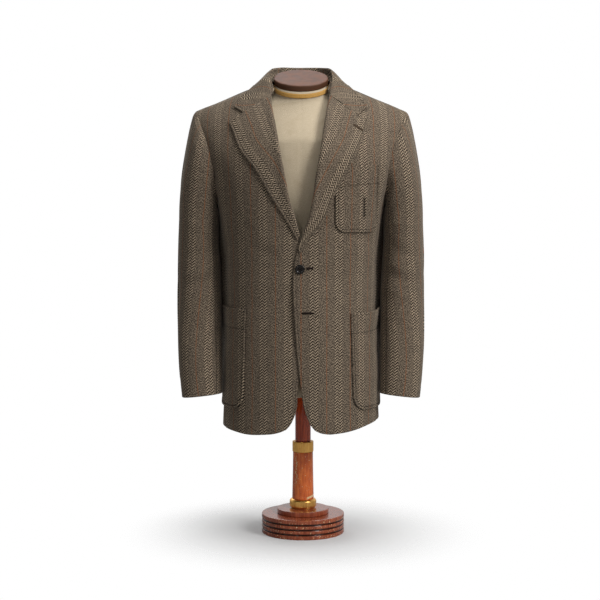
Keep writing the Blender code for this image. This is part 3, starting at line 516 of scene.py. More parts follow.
def makePanel(node, base, lift, normal, weave, side, rims=("start", "end", "bottom"),
              shade=0.0):
    # a panel raised by its folds, with the rims named here rounded off and darkened by painted
    # shade
    outer = base + lift[..., None] * normal
    distance = rimDistances(outer)
    near = np.min([distance[rim] for rim in rims], axis=0)
    makeCloth(node, outer, normal, rounded(near), weave * np.array([side, 1]),
              shade + 0.45 * bell(near, 0.0012), side)


def crowded(cut, step, near):
    # columns across a panel: close together by its edges, on its solid's own lines between
    even = spaced(cut["across"], step, near, grids["seam"])
    lines = np.interp(even, np.linspace(0, 1, len(cut["columns"])), cut["columns"])
    blend = rising(np.minimum(even, 1 - even) * cut["across"], cut["clear"])
    return np.maximum.accumulate(even * (1 - blend) + lines * blend)


# fronts: an opening edge below, the roll of the lapel above, a lap of the left over the right
frontCut = {"lap": 0.0032, "lapBump": 0.0047, "bumpHeight": 0.5130, "bumpReach": 0.050,
            "lapFade": (0.026, 0.085), "lapEnd": (0.70, 0.82), "wander": (0.0007, 26, 15, 3),
            "button": (-0.0025, 0.6085), "buttonReach": 0.016, "across": 0.185,
            "clear": (0.010, 0.040), "openingEnd": (0.640, 0.662), "hemStart": (0.050, 0.110),
            "foldStart": 0.012,
            "columns": (0, 0.15, 0.30, 0.45, 0.59, 0.72, 0.835, 0.93, 1),
            "flat": (0.262, 0.800), "area": 0.1545}
frontFolds = {
    "left": foldRows(
        (20,  610, 120, 640, 6,   12, 1.1),
        (20,  596, 135, 585, -4,  14, -1.2),
        (30,  575, 120, 528, -6,  15, 1),
        (75,  690, 160, 655, 8,   16, -1.4),
        (100, 665, 165, 610, 6,   14, 1.2),
        (165, 760, 120, 680, 8,   16, 1.6),
        (178, 800, 150, 660, -10, 13, -2),
        (186, 860, 165, 750, 8,   14, 1.8),
        (150, 900, 196, 862, 4,   14, -1.2),
        (70,  480, 85,  285, 10,  22, -1.8),
        (45,  500, 50,  270, -6,  18, 1.4),
        (115, 500, 120, 260, 6,   20, 1),
        (110, 955, 205, 915, 6,   20, 1)),
    "right": foldRows(
        (15,  612, 110, 650, 8,  13, -1.3),
        (20,  590, 140, 570, -5, 14, 1.2),
        (30,  620, 100, 690, 6,  16, 1.3),
        (60,  560, 150, 520, -8, 17, -1.2),
        (110, 700, 168, 640, 6,  14, -1.5),
        (188, 800, 186, 755, 0,  10, 1.4),
        (172, 790, 140, 660, 10, 14, 1.9),
        (184, 840, 158, 730, -8, 12, -2),
        (150, 880, 192, 850, 4,  13, 1.2),
        (62,  500, 58,  262, -8, 20, 1.8),
        (92,  470, 98,  262, 8,  18, -1.9),
        (30,  420, 40,  275, 4,  16, -1.2),
        (100, 945, 200, 925, -5, 20, 1.1))}


def lapLift(side, x, z):
    # the left front rides over the right one and over its hidden button
    if side < 0:
        return np.zeros(np.broadcast(x, z).shape)
    cut = frontCut
    bump = np.exp(-(z - cut["bumpHeight"])**2 / (2 * cut["bumpReach"]**2))
    lap = cut["lap"] + cut["lapBump"] * bump
    return lap * (1 - rising(x, cut["lapFade"])) * (1 - rising(z, cut["lapEnd"]))


def settle(side, x, z):
    # the cloth's folds and its slow unevenness over the body, lying flat under the button
    cut = frontCut
    folds = creased(x, z, frontFolds[sideName(side)]) + uneven(cut["wander"], x, z, side)
    apart = np.hypot(x - cut["button"][0], z - cut["button"][1])
    return folds * (1 - bell(apart, cut["buttonReach"]))


def rowHeights(foot, corner, step, near=()):
    # up the side seam, then evenly round the armhole
    top = coat["shoulderHeight"]
    low = foot + (corner - foot) * spaced(corner - foot, step, near)
    middle, half = (top + coat["underarm"]) / 2, (top - coat["underarm"]) / 2
    start = math.acos((corner - middle) / half)
    count = math.ceil(half * start / step)
    high = middle + half * np.cos(np.linspace(start, 0, count + 1))
    return np.concatenate([low, high[1:]]), len(low) - 1


def outerEdge(heights, foot, corner, face):
    width = bodyAt(heights, face)[0]
    low, high = coat["seamReach"]
    share = (np.minimum(heights, corner) - foot) / (corner - foot)
    seam = width * (low + (high - low) * share)
    first = bodyAt(corner, face)[0] * high
    column = armhole["front" if face < 0 else "back"]
    hole = smooth(heights, np.append(corner, armhole["height"]), np.append(first, column))
    return pair(np.where(heights > corner, hole, seam), heights)


def sideHem(side):
    return float(hem[sideName(side)][-1])


def panelRows(side, face, corner, step, near, low, last):
    # up a front or a back: its outer edge, the heights of its rows at the inner edge, their
    # shares of the whole, and the row where the side seam gives way to the armhole
    foot, top = sideHem(side), coat["shoulderHeight"]
    heights, bend = rowHeights(foot, corner, step, near)
    rise = (low + (corner - low) * np.clip((heights - foot) / (corner - foot), 0, 1)
            + (last - corner) * np.clip((heights - corner) / (top - corner), 0, 1))
    return outerEdge(heights, foot, corner, face), rise, (heights - foot) / (top - foot), bend


lapelCut = {"puff": 0.0032, "puffReach": 0.022, "puffStart": (0, 0.20), "puffEnd": (0.80, 1),
            "foldStart": (-0.012, 0.012), "beyond": 0.02, "notchPart": 0.70, "turns": 14,
            "rust": 0.044, "wander": (0.0006, 48, 30, 31), "flat": (0.125, 0.400), "area": 0.0240}
lapelRows = {
    "left": millimetres("roll x height lift",
        (656, -2.2,  640,   3.5),
        (676, 15.7,  672.4, 4),
        (705, 37.1,  697.7, 5.6),
        (740, 57,    729.9, 7.6),
        (776, 69,    762.6, 8.4),
        (815, 88,    800,   8.6),
        (852, 106,   833.7, 8),
        (900, 131.5, 886.8, 5.8),
        (941, 140.5, 910,   5),
        (985, 148.2, 932.9, 4.5)),
    "right": millimetres("roll x height lift",
        (679.5, 8.5,   672,   3.4),
        (690,   17.5,  687,   3.6),
        (710,   28.8,  708.3, 4),
        (740,   45,    735,   4.6),
        (776,   61.8,  761.8, 5.2),
        (815,   79,    791.5, 5.6),
        (852,   95.5,  820,   5.6),
        (900,   133,   869.2, 5.2),
        (941,   145,   898,   4.8),
        (985,   156.8, 925.9, 4.5))}
notch = {"left": (0.1216, 0.9418), "right": (0.1259, 0.9465)}


def puffAt(t, apart):
    # the lapel stands fuller along its roll, away from its two ends
    cut = lapelCut
    ends = rising(t, cut["puffStart"]) * (1 - rising(t, cut["puffEnd"]))
    return cut["puff"] * (1 - ease(apart / cut["puffReach"])) * ends


def rollRadius(side, z):
    # half the thickness of the fold along the lapel's roll: the two walls and the air between
    rows = lapelRows[sideName(side)]
    low, high = rows["roll"][0], rows["roll"][-1]
    t = np.clip((z - low) / (high - low), 0, 1)
    lift = readOff(rows, z, "lift")
    radius = (lift + puffAt(t, 0.0) + coat["wall"]) / 2
    radius = (lift + puffAt(t, radius) + coat["wall"]) / 2
    return radius * rising(z - low, lapelCut["foldStart"])


def frontGrid(side):
    name, low, last = sideName(side), frontEdge["height"][0], frontEdge["height"][-1]
    outer, rise, t, bend = panelRows(side, -1, coat["frontCorner"], grids["step"],
                                     grids["edge"], low, last)
    inner = pair(readOff(frontEdge, rise, name) + rollRadius(side, rise), rise)
    s = crowded(frontCut, grids["step"], grids["edge"])
    x = inner[0, 0] + (outer[0, 0] - inner[0, 0]) * s
    bottom = pair(x, readOff(hem, x, name))
    bottom[0], bottom[-1] = inner[0], outer[0]
    x = inner[-1, 0] + (coat["shoulder"] - inner[-1, 0]) * s
    upper = pair(x, ridge(x))
    upper[-1], inner[-1] = outer[-1], upper[0]
    return coons(bottom, upper, inner, outer, s, t), bend


def buildFront(side):
    flat, bend = frontGrid(side)
    x, z = flat[..., 0], flat[..., 1]
    base, normal = clothAt(x, z, -1)
    distance = rimDistances(base)
    # the stitched edge goes down the opening and round the corner of the hem
    edge = np.minimum(distance["start"] + 0.03 * rising(z, frontCut["openingEnd"]),
                      distance["bottom"] + 0.02 * rising(x, frontCut["hemStart"]))
    fade = ease(distance["start"] / frontCut["foldStart"])
    lift = lapLift(side, x, z) + settle(side, x, z) * fade
    lift += swelled(edge) - sunk(distance["end"]) - sunk(distance["top"], 0.0006)
    lift += hemStep(distance["bottom"], "front")
    # painted shade along the stitch groove of the opening and the hem
    makePanel("front_" + sideName(side), base, lift, normal, panelWeave(x, z, -1), side,
              shade=paintedStitchShade(edge, 0.3))
    return {"points": base, "normal": normal, "bend": bend}


backCut = {"across": 0.20, "clear": (0.005, 0.035), "wander": (0.0008, 24, 14, 9),
           "foldStart": 0.015,
           "columns": (0, 0.157, 0.3136, 0.48, 0.63, 0.76, 0.865, 0.945, 1),
           "flat": (0.262, 0.800), "area": 0.1690}
backFolds = {
    "left": foldRows(
        (10,  955, 120, 940, 8,  14, -1.3),
        (20,  925, 150, 905, 6,  18, 1),
        (195, 860, 130, 790, 12, 16, 2.2),
        (190, 820, 120, 700, 12, 15, -2.4),
        (180, 770, 110, 630, 10, 18, 1.8),
        (30,  640, 150, 620, -6, 14, -1.6),
        (20,  605, 140, 575, -6, 15, 1.5),
        (60,  575, 160, 540, 6,  14, -1.4),
        (60,  520, 55,  280, 6,  22, 2),
        (105, 540, 112, 270, -8, 20, -2.2),
        (150, 520, 155, 290, 4,  17, 1.6)),
    "right": foldRows(
        (15,  945, 135, 950, 6,  15, -1.1),
        (10,  905, 120, 890, 5,  18, 1.2),
        (198, 850, 140, 760, 10, 15, -2),
        (192, 800, 125, 690, 12, 17, 2.3),
        (178, 740, 100, 650, 8,  15, -1.8),
        (20,  655, 130, 640, -5, 15, 1.4),
        (40,  615, 160, 590, -8, 14, -1.6),
        (30,  570, 120, 560, 5,  16, 1.2),
        (40,  500, 45,  275, -5, 20, -1.8),
        (85,  540, 90,  280, 8,  22, 2.2),
        (132, 530, 140, 290, -6, 18, -2))}


def backGrid(side):
    low, high, point = coat["hemBack"], coat["backNeck"], coat["neckPoint"]
    outer, rise, t, bend = panelRows(side, 1, coat["backCorner"], grids["backStep"],
                                     grids["seam"], low, high)
    s = crowded(backCut, grids["backStep"], grids["seam"])
    bottom = pair(outer[0, 0] * s, low + (sideHem(side) - low) * s)
    x = coat["shoulder"] * s
    neck = high + (ridge(point) - high) * (x / point)**2
    upper = pair(x, np.where(x < point, neck, ridge(x)))
    upper[-1] = outer[-1]
    return coons(bottom, upper, pair(0.0, rise), outer, s, t), bend


def sewnIn(distance):
    # drawn down at the seams on both sides and at the top, over a turned-up hem
    seams = sunk(distance["start"]) + sunk(distance["end"]) + sunk(distance["top"])
    return hemStep(distance["bottom"], "back") - seams


def buildBack(side):
    flat, bend = backGrid(side)
    x, z = flat[..., 0], flat[..., 1]
    base, normal = clothAt(x, z, 1)
    distance = rimDistances(base)
    folds = creased(x, z, backFolds[sideName(side)]) + uneven(backCut["wander"], x, z, side)
    lift = folds * ease(distance["start"] / backCut["foldStart"]) + sewnIn(distance)
    makePanel("back_" + sideName(side), base, lift, normal, panelWeave(x, z, 1), side)
    return {"points": base, "normal": normal, "bend": bend}


sideCut = {"across": 0.12, "foldStart": 0.02, "flat": (0.135, 0.540), "area": 0.0515}
# placed by bearing, so across they are in degrees, and their widths in half degrees
sideFolds = foldRows(
    (70, 700, 110, 640, 6,  18, 1.6),
    (80, 640, 115, 600, -5, 16, -1.8),
    (75, 590, 105, 555, 5,  18, 1.2),
    (95, 520, 96,  280, 4,  16, -1.4),
    (96, 560, 94,  500, 0,  18, 1.6),
    (95, 645, 96,  600, 0,  18, 1),
    (93, 785, 94,  700, 0,  18, 1.5))


def buildSide(side):
    # between the side seams, by bearing; its rows meet the rows of the panels beside it
    foot = sideHem(side)
    down, up = coat["seamReach"]
    share = spaced(coat["frontCorner"] - foot, grids["backStep"], grids["seam"], grids["seam"])
    part = spaced(sideCut["across"], grids["backStep"], grids["seam"], grids["seam"])
    start = np.degrees(np.arcsin((down + (up - down) * share)**(coat["square"] / 2)))
    angle = start[:, None] + (180 - 2 * start)[:, None] * part
    corner = coat["frontCorner"] + (coat["backCorner"] - coat["frontCorner"]) * part
    scoop = corner - (corner - coat["underarm"]) * np.sin(math.pi * part)**coat["underarmCurve"]
    z = foot + (scoop - foot) * share[:, None]
    base, normal = aroundAt(angle, z)
    distance = rimDistances(base)
    inward = ease(np.minimum(distance["start"], distance["end"]) / sideCut["foldStart"])
    lift = creased(angle / 1000, z, sideFolds) * inward + sewnIn(distance)
    makePanel("side_" + sideName(side), base, lift, normal, weaveAt(angle, z), side)
    return {"points": base, "normal": normal}


# sleeves: rings of a squared ellipse, from the armhole to the cuff
sleeveCut = {"square": 2.25, "seamHeight": 0.862, "fall": 0.07, "fallSpan": (0.60, 0.32),
             "match": 0.3, "lean": 0.040, "leanSpan": (0.22, 0.64), "band": -0.0535,
             "foldStart": (0.010, 0.060), "foldEnd": (0.600, 0.635), "leftAgain": (0.006, 0.012),
             "full": 0.0016, "fullAt": 0.010, "fullReach": 0.008, "fullAbove": (0.80, 0.90),
             "head": (0.043, 0.0715), "headEnd": (0.16, 0.28), "pointReach": 0.008,
             "pointDrop": 0.0018, "pointFacing": (0.55, 0.0, 0.83), "wander": (0.0008, 22, 16, 21),
             "top": {"flat": (0.262, 0.640), "area": 0.1300},
             "under": {"flat": (0.170, 0.560), "area": 0.0645}}
sleeveRows = columns("outerX outerZ innerX innerZ middle depth keep",
    (0.236,  0.955, 0.187,  0.745,  0.004,  0.15,  1),
    (0.2425, 0.942, 0.1895, 0.7435, 0.004,  0.152, 0.75),
    (0.248,  0.923, 0.189,  0.741,  0.004,  0.153, 0.5),
    (0.255,  0.889, 0.1868, 0.737,  0.004,  0.153, 0.28),
    (0.262,  0.845, 0.1853, 0.73,   0.005,  0.151, 0.12),
    (0.268,  0.8,   0.1848, 0.718,  0.007,  0.148, 0.04),
    (0.2722, 0.75,  0.1852, 0.695,  0.01,   0.143, 0),
    (0.2745, 0.69,  0.1856, 0.657,  0.012,  0.136, 0),
    (0.2762, 0.62,  0.182,  0.602,  0.012,  0.128, 0),
    (0.2768, 0.55,  0.1794, 0.543,  0.008,  0.121, 0),
    (0.2766, 0.48,  0.1784, 0.48,   -0.003, 0.114, 0),
    (0.2748, 0.415, 0.1771, 0.421,  -0.019, 0.108, 0),
    (0.2705, 0.36,  0.1766, 0.369,  -0.033, 0.102, 0),
    (0.265,  0.315, 0.1767, 0.325,  -0.044, 0.097, 0))
# across from the outermost line (front below 0), and down from the shoulder
sleeveFolds = foldRows(
    (-150, 260, -60, 330, 10, 13, -2.4),
    (-160, 300, -50, 372, 12, 12, 2.2),
    (-155, 345, -40, 395, 8,  12, -2),
    (-150, 400, -55, 440, -6, 13, 1.8),
    (-140, 190, -70, 250, 10, 14, 1.8),
    (20,   330, 120, 360, 8,  16, -1.6),
    (10,   380, 110, 400, -8, 15, 1.5),
    (-100, 70,  -90, 230, 8,  12, -1.8),
    (-60,  80,  -62, 240, -6, 14, 1.2),
    (80,   60,  85,  230, -8, 13, -1.8),
    (-90,  470, -50, 600, 6,  14, -1.4),
    (-30,  420, -15, 610, 6,  15, 1.2),
    (60,   450, 50,  600, 6,  16, -1.2))


def signedPower(value, power):
    return np.sign(value) * np.abs(value)**power


def sleeveTube(ring, ringNormal):
    cut = sleeveCut
    square = cut["square"]
    outer = np.stack([sleeveRows["outerX"], sleeveRows["outerZ"]], axis=-1)
    inner = np.stack([sleeveRows["innerX"], sleeveRows["innerZ"]], axis=-1)
    reach = (outer[0] - inner[0]) / 2
    size = np.linalg.norm(reach)
    along = ((ring[:, [0, 2]] - (outer[0] + inner[0]) / 2) @ (reach / size)) / size
    across = (ring[:, 1] - sleeveRows["middle"][0]) / (sleeveRows["depth"][0] / 2)
    angle = np.arctan2(signedPower(across, square / 2), signedPower(along, square / 2))
    # rows at even steps down the outer side, close together at the seam and the cuff
    walk = np.concatenate([[0], np.cumsum(np.linalg.norm(np.diff(outer, axis=0), axis=-1))])
    place = walk[-1] * spaced(walk[-1], grids["sleeveStep"], grids["seam"], grids["edge"][:6])
    row = {name: smooth(place, walk, values)[:, None] for name, values in sleeveRows.items()}
    out = signedPower(np.cos(angle), 2 / square)[None]
    back = signedPower(np.sin(angle), 2 / square)[None]
    x = (row["outerX"] + row["innerX"]) / 2 + (row["outerX"] - row["innerX"]) / 2 * out
    z = (row["outerZ"] + row["innerZ"]) / 2 + (row["outerZ"] - row["innerZ"]) / 2 * out
    y = row["middle"] + row["depth"] / 2 * back
    z = z - cut["fall"] * rising(row["outerZ"], cut["fallSpan"]) * (y - row["middle"])
    tube = np.stack([x, y, z], axis=-1)
    tube += row["keep"][..., None] * (ring - tube[0])
    normal = gridNormals(tube, closed=True)
    if np.sum(normal[-1] * (tube[-1] - tube[-1].mean(axis=0))) < 0:
        normal = -normal
    alike = np.sum(normal[0] * ringNormal, axis=-1) > cut["match"]
    normal[0] = np.where(alike[:, None], ringNormal, normal[0])
    # at the shoulder's end the three pieces meet: one even direction, and a little lower
    near = bell(np.linalg.norm(tube - tube[:1, :1], axis=-1), cut["pointReach"])[..., None]
    turned = unit(np.array(cut["pointFacing"]))
    normal = unit(normal * (1 - near) + turned * near)
    tube = tube - cut["pointDrop"] * near * turned
    # weave: round the arm from its outermost line, counted below 0 on the front, and down it
    middle = int(np.argmin(np.abs(angle) + (ring[:, 2] < 0.85) * 9))
    walkRound = walked(np.concatenate([tube, tube[:, :1]], axis=1), 1)
    u = walkRound[:, :-1] - walkRound[:, middle:middle + 1]
    total = walkRound[:, -1:]
    u = np.where(u > total / 2, u - total, np.where(u < -total / 2, u + total, u))
    v = np.broadcast_to(place[:, None], u.shape)
    # near the head the grain hangs straight: by bearing round a line a little inside the arm
    half, deep = cut["head"]
    turn = np.linspace(-math.pi, math.pi, 361)
    level = np.stack([signedPower(np.cos(turn), 2 / square), signedPower(np.sin(turn), 2 / square)],
                     axis=-1)
    walk = walked(level * np.array([half, deep]), 0)
    rise = sleeveRows["outerZ"][::-1]
    outAt = np.interp(tube[..., 2], rise, sleeveRows["outerX"][::-1]) - half
    middleAt = np.interp(tube[..., 2], rise, sleeveRows["middle"][::-1])
    bearing = np.arctan2((tube[..., 1] - middleAt) / deep, (tube[..., 0] - outAt) / half)
    straight = np.interp(bearing, np.arctan2(level[:, 1], level[:, 0]), walk - walk[180])
    share = rising(v, cut["headEnd"])
    total = total * share + walk[-1] * (1 - share)
    return tube, normal, straight * (1 - share) - u * share, v, total


def buildSleeve(side, front, under, back):
    cut = sleeveCut
    ring = [np.concatenate([front[name][front["bend"]:, -1][::-1], under[name][-1, 1:-1],
                            back[name][back["bend"]:-1, -1]]) for name in ("points", "normal")]
    tube, normal, u, v, total = sleeveTube(*ring)
    count, forearm = len(ring[0]), len(front["points"]) - 1 - front["bend"]
    behind = forearm + under["points"].shape[1] - 1
    elbow = behind + int(np.argmin(np.abs(ring[0][behind:, 2] - cut["seamHeight"])))
    for part, chosen in (("top", np.arange(elbow, count + forearm + 1) % count),
                         ("under", np.arange(forearm, elbow + 1))):
        base, a, b = tube[:, chosen], u[:, chosen], v[:, chosen]
        distance = rimDistances(base)
        seams = np.minimum(distance["start"], distance["end"])
        inward = rising(b, cut["foldStart"]) * (1 - rising(b, cut["foldEnd"]))
        # the left sleeve's folds lie a little further forward and higher than the right one's
        ahead, higher = np.array(cut["leftAgain"]) * (side > 0)
        folds = creased(a + ahead, b + higher, sleeveFolds)
        lift = folds * inward * (0.4 + 0.6 * ease(seams / 0.02))
        lift += uneven(cut["wander"], a, b, side) * inward
        lift += hemStep(distance["top"], "cuff") - sunk(seams) - sunk(distance["bottom"], 0.0010)
        # the sleeve's head is eased in a little fuller than the armhole
        full = cut["full"] * rising(base[0, :, 2], cut["fullAbove"])
        lift += full * bell(distance["bottom"] - cut["fullAt"], cut["fullReach"])
        if part == "top":
            place = a - cut["band"] - cut["lean"] * rising(b, cut["leanSpan"])
        else:
            half = total[:, chosen] / 2
            place = np.where(a < 0, a + half, a - half)
        makePanel("sleeve_" + part + "_" + sideName(side), base, lift, normal[:, chosen],
                  np.stack([place, base[..., 2]], axis=-1), side,
                  ("start", "end", "top"))


def rollTurns():
    # bearings round the fold, from its edge inside the front to the lapel's face
    return np.linspace(0, math.pi, lapelCut["turns"] + 1)[:-1]


def lapelColumns(size):
    # places across the lapel or the collar's leaf, with a line at the notch
    part = lapelCut["notchPart"]
    first = part * spaced(size * part, grids["trimStep"])
    last = part + (1 - part) * spaced(size * (1 - part), grids["trimStep"], (), grids["edge"])
    return np.concatenate([first, last[1:]])


def buildLapel(side):
    cut, name = lapelCut, sideName(side)
    rows = lapelRows[name]
    t = spaced(0.350, grids["trimStep"], grids["edge"][:6], grids["edge"])
    low, high = rows["roll"][0], rows["roll"][-1]
    roll = low + (high - low) * t
    line = pair(readOff(frontEdge, roll, name), roll)
    outer = pair(*readOff(rows, roll, "x", "height"))
    tip = np.array(notch[name])
    base = readOff(rows, roll, "lift")
    radius = rollRadius(side, roll)
    across = unit(outer - line)
    across[-1] = unit(tip - line[-1])
    inner = line + across * radius[:, None]
    f = lapelColumns(0.100)
    part = cut["notchPart"]
    bottom = inner[0] + (outer[0] - inner[0]) * f[:, None]
    g = np.clip(f / part, 0, 1)[:, None]
    h = np.clip((f - part) / (1 - part), 0, 1)[:, None]
    top = inner[-1] + (tip - inner[-1]) * g + (outer[-1] - tip) * h
    flat = coons(bottom, top, inner, outer, f, t)
    apart = np.linalg.norm(flat - line[:, None], axis=-1)
    lift = base[:, None] + puffAt(t[:, None], apart)
    # the fold: a half round that carries the front's cloth over to the lapel's face
    turn = rollTurns()
    fold = line[:, None] + across[:, None] * (radius[:, None] * (1 - np.sin(turn)))[..., None]
    middle = radius - coat["wall"]
    foldLift = middle[:, None] - radius[:, None] * np.cos(turn)
    flat = np.concatenate([fold, flat], axis=1)
    apart = np.concatenate([radius[:, None] * (1 - np.sin(turn)), apart], axis=1)
    lift = np.concatenate([foldLift, lift], axis=1)
    x, z = flat[..., 0], flat[..., 1]
    lift = lift + lapLift(side, x, z) + settle(side, x, z) * ease(apart / frontCut["foldStart"])
    whole, facing = clothAt(x, z, -1, lift)
    distance = rimDistances(whole)
    fold = len(turn)
    face = np.concatenate([np.full(fold, 0.0), f])
    # stitched 6 mm in along the outer edge and the top as far as the notch
    above = distance["top"] + cut["beyond"] * ease((part - face) / 0.08)
    lift = swelled(np.minimum(distance["end"], above))
    lift -= sunk(distance["top"], 0.0007) * (face < part)
    lift += uneven(cut["wander"], x, z, side) * ease(distance["end"] / 0.03)
    # painted shade along the stitch groove of the outer edge and the top
    shade = paintedStitchShade(np.minimum(distance["end"], above), 0.3)
    whole = whole + lift[..., None] * facing
    normal = gridNormals(whole)
    if np.sum(normal[:, -1] * facing[:, -1]) < 0:
        normal = -normal
    weave = np.stack([distance["end"] - cut["rust"], distance["bottom"] * side], axis=-1)
    near = np.minimum(distance["end"], distance["top"] + cut["beyond"] * (face < part))
    fall = rounded(np.minimum(near, distance["bottom"]))
    makeCloth("lapel_" + name, whole, normal, fall, weave, shade, side)
    total = np.einsum("ijk,ijk->ij", whole - clothAt(x, z, -1)[0], facing)

    def liftAt(px, pz):
        return float(total[:, fold:].ravel()[np.argmin(np.hypot(x - px, z - pz)[:, fold:])])

    return {"top": whole[-1], "normal": normal[-1], "face": face, "fold": fold, "liftAt": liftAt}


# collar: a leaf that falls over the shoulders and a stand inside it, joined by a round fold
collarCut = {"lift": 0.0052, "bulge": 0.005, "bulgeCurve": 0.75, "rows": 12, "fade": 5,
             "fold": (0.0037, 0.0027), "behind": 0.0051, "wander": (0.0005, 40, 50, 41),
             "flat": (0.085, 0.470), "area": 0.0300,
             "stand": {"flat": (0.045, 0.340), "area": 0.0089}}
collarRows = columns("rollX rollY rollZ edgeX drop",
    (0.064,  -0.0455, 0.99,   0.148, -0.15),
    (0.0665, -0.028,  1.012,  0.123, -0.05),
    (0.0695, -0.004,  1.034,  0.104, 0.01),
    (0.0665, 0.027,   1.05,   0.088, 0.095),
    (0.048,  0.057,   1.055,  0.058, 0.23),
    (0.024,  0.069,   1.0555, 0.028, 0.295),
    (0,      0.0725,  1.0555, 0,     0.315))
standFoot = millimetres("x y z",
    (66, -30,  1001),
    (69, -12,  1016),
    (69, 6,    1021),
    (64, 30,   1020),
    (45, 53,   1015),
    (22, 62.5, 1013.5),
    (0,  65,   1013))


def roundNeck(table, steps):
    # a table's columns along the half collar, then mirrored past the centre back
    place = np.linspace(0, 1, len(next(iter(table.values()))))
    return readOff({"place": place, **table}, steps, *table)


def mirrored(points):
    # one half's rows, then the other half's in reverse with x turned over
    return np.concatenate([points, points[-2::-1] * np.array([-1, 1, 1])])


def shoulderPoint(x, drop, lift):
    # before the shoulder line where drop is below 0, behind it above 0
    ahead = clothAt(x, ridge(x) - np.abs(drop) * coat["chestRound"], -1, lift)[0]
    behind = clothAt(x, ridge(x) - np.abs(drop) * coat["backRound"], 1, lift)[0]
    return np.where((drop < 0)[:, None], ahead, behind)


def buildCollar(gorges):
    cut = collarCut
    half = spaced(0.235, grids["trimStep"], grids["seam"])
    x, y, z, edgeX, drop = roundNeck(collarRows, half)
    roll = mirrored(np.stack([x, y, z], axis=-1))
    edge = mirrored(shoulderPoint(edgeX, drop, np.full(len(edgeX), cut["lift"])))
    share = np.concatenate([half, half[-2::-1]]) * cut["rows"]
    face, fold = gorges["left"]["face"], gorges["left"]["fold"]
    f, part = face[fold:], lapelCut["notchPart"]
    thick, thin = cut["fold"]
    radius = (thick + (thin - thick) * ease(share / cut["rows"]))[:, None]
    out = unit(edge - roll)
    start = roll + out * radius
    leaf = start[:, None] + (edge - start)[:, None] * f[None, :, None]
    clearOfEnd = ease(share / cut["fade"])[:, None, None]
    bulge = cut["bulge"] * np.sin(math.pi * f**cut["bulgeCurve"])[None, :, None]
    middle = len(half) - 1

    def outward(normal):
        return normal if normal[middle, -1, 1] > 0 else -normal

    leaf = leaf + clearOfEnd * bulge * outward(gridNormals(leaf))
    facing = outward(gridNormals(leaf))[:, :1]
    turn = rollTurns()[None, :, None]
    wrap = radius[:, None]
    folded = (roll[:, None] + out[:, None] * wrap * (1 - np.sin(turn))
              - facing * wrap * (1 + np.cos(turn)))
    whole = np.concatenate([folded, leaf], axis=1)
    # each end takes the gorge seam's own points, and fades into the collar's lines
    hold = np.where(face <= part, 1, (1 - face) / (1 - part))[:, None]
    fade = np.clip(1 - share / cut["fade"], 0, 1)[:, None, None]**2
    keep = np.concatenate([np.ones(middle), [0.5], np.zeros(middle)])[:, None, None]
    for weight, row, key, lead in ((keep, 0, "left", 1), (1 - keep, -1, "right", -1)):
        seam = gorges[key]["top"] * np.array([lead, 1, 1])
        at = int(np.argmin(np.abs(face - part)))
        kink = np.where((face <= part)[:, None], seam - whole[row], (seam - whole[row])[at]) * hold
        whole = whole + weight * fade * kink[None]
    facing = outward(gridNormals(whole))
    distance = rimDistances(whole)
    ends = np.minimum(distance["bottom"], distance["top"])
    besides = ends + lapelCut["beyond"] * ease((part - face) / 0.08)
    lift = swelled(np.minimum(distance["end"], besides))
    lift -= sunk(ends, 0.0007) * (face < part)
    # painted shade along the stitch groove, and in the gorge seams at the two ends
    shade = (paintedStitchShade(np.minimum(distance["end"], besides), 0.3)
             + 0.4 * bell(ends, 0.0012) * (face < part))
    along = distance["bottom"] - distance["bottom"][middle]
    lift += uneven(cut["wander"], along, distance["start"]) * ease(ends / 0.03)
    whole = whole + lift[..., None] * facing
    normal = outward(gridNormals(whole))
    for row, key, lead in ((0, "left", 1), (-1, "right", -1)):
        seam = gorges[key]["normal"] * np.array([lead, 1, 1])
        normal[row] = np.where((face <= part)[:, None], seam, normal[row])
    fall = rounded(np.minimum(distance["end"], ends + lapelCut["beyond"] * (face < part)))
    weave = np.stack([along, distance["end"]], axis=-1)
    makeCloth("collar_fall", whole, normal, fall, weave, shade, 1)
    # the stand runs on from the fold's inner edge down to the neck seam
    top, lead = whole[:, 0], unit(whole[:, 0] - whole[:, 1])
    foot = mirrored(np.stack(roundNeck(standFoot, half), axis=-1))
    stand = gridNormals(np.stack([foot, roll], axis=1))[:, 0]
    stand = stand if stand[middle, 1] > 0 else -stand
    foot = foot - cut["behind"] * stand
    t = spaced(0.040, grids["trimStep"], (), grids["seam"])[None, :, None]
    size = np.linalg.norm(foot - top, axis=-1)[:, None, None]
    neck = ((2 * t**3 - 3 * t**2 + 1) * top[:, None] + (t**3 - 2 * t**2 + t) * size * lead[:, None]
            + (3 * t**2 - 2 * t**3) * foot[:, None] + (t**3 - t**2) * (foot - top)[:, None])
    inward = gridNormals(neck)
    inward = inward if inward[middle, 0, 1] < 0 else -inward
    down = rimDistances(neck)
    weave = np.stack([down["bottom"] - down["bottom"][middle], down["start"]], axis=-1)
    makeCloth("collar_stand", neck, inward, np.zeros(neck.shape[:2]), weave, None, 1)


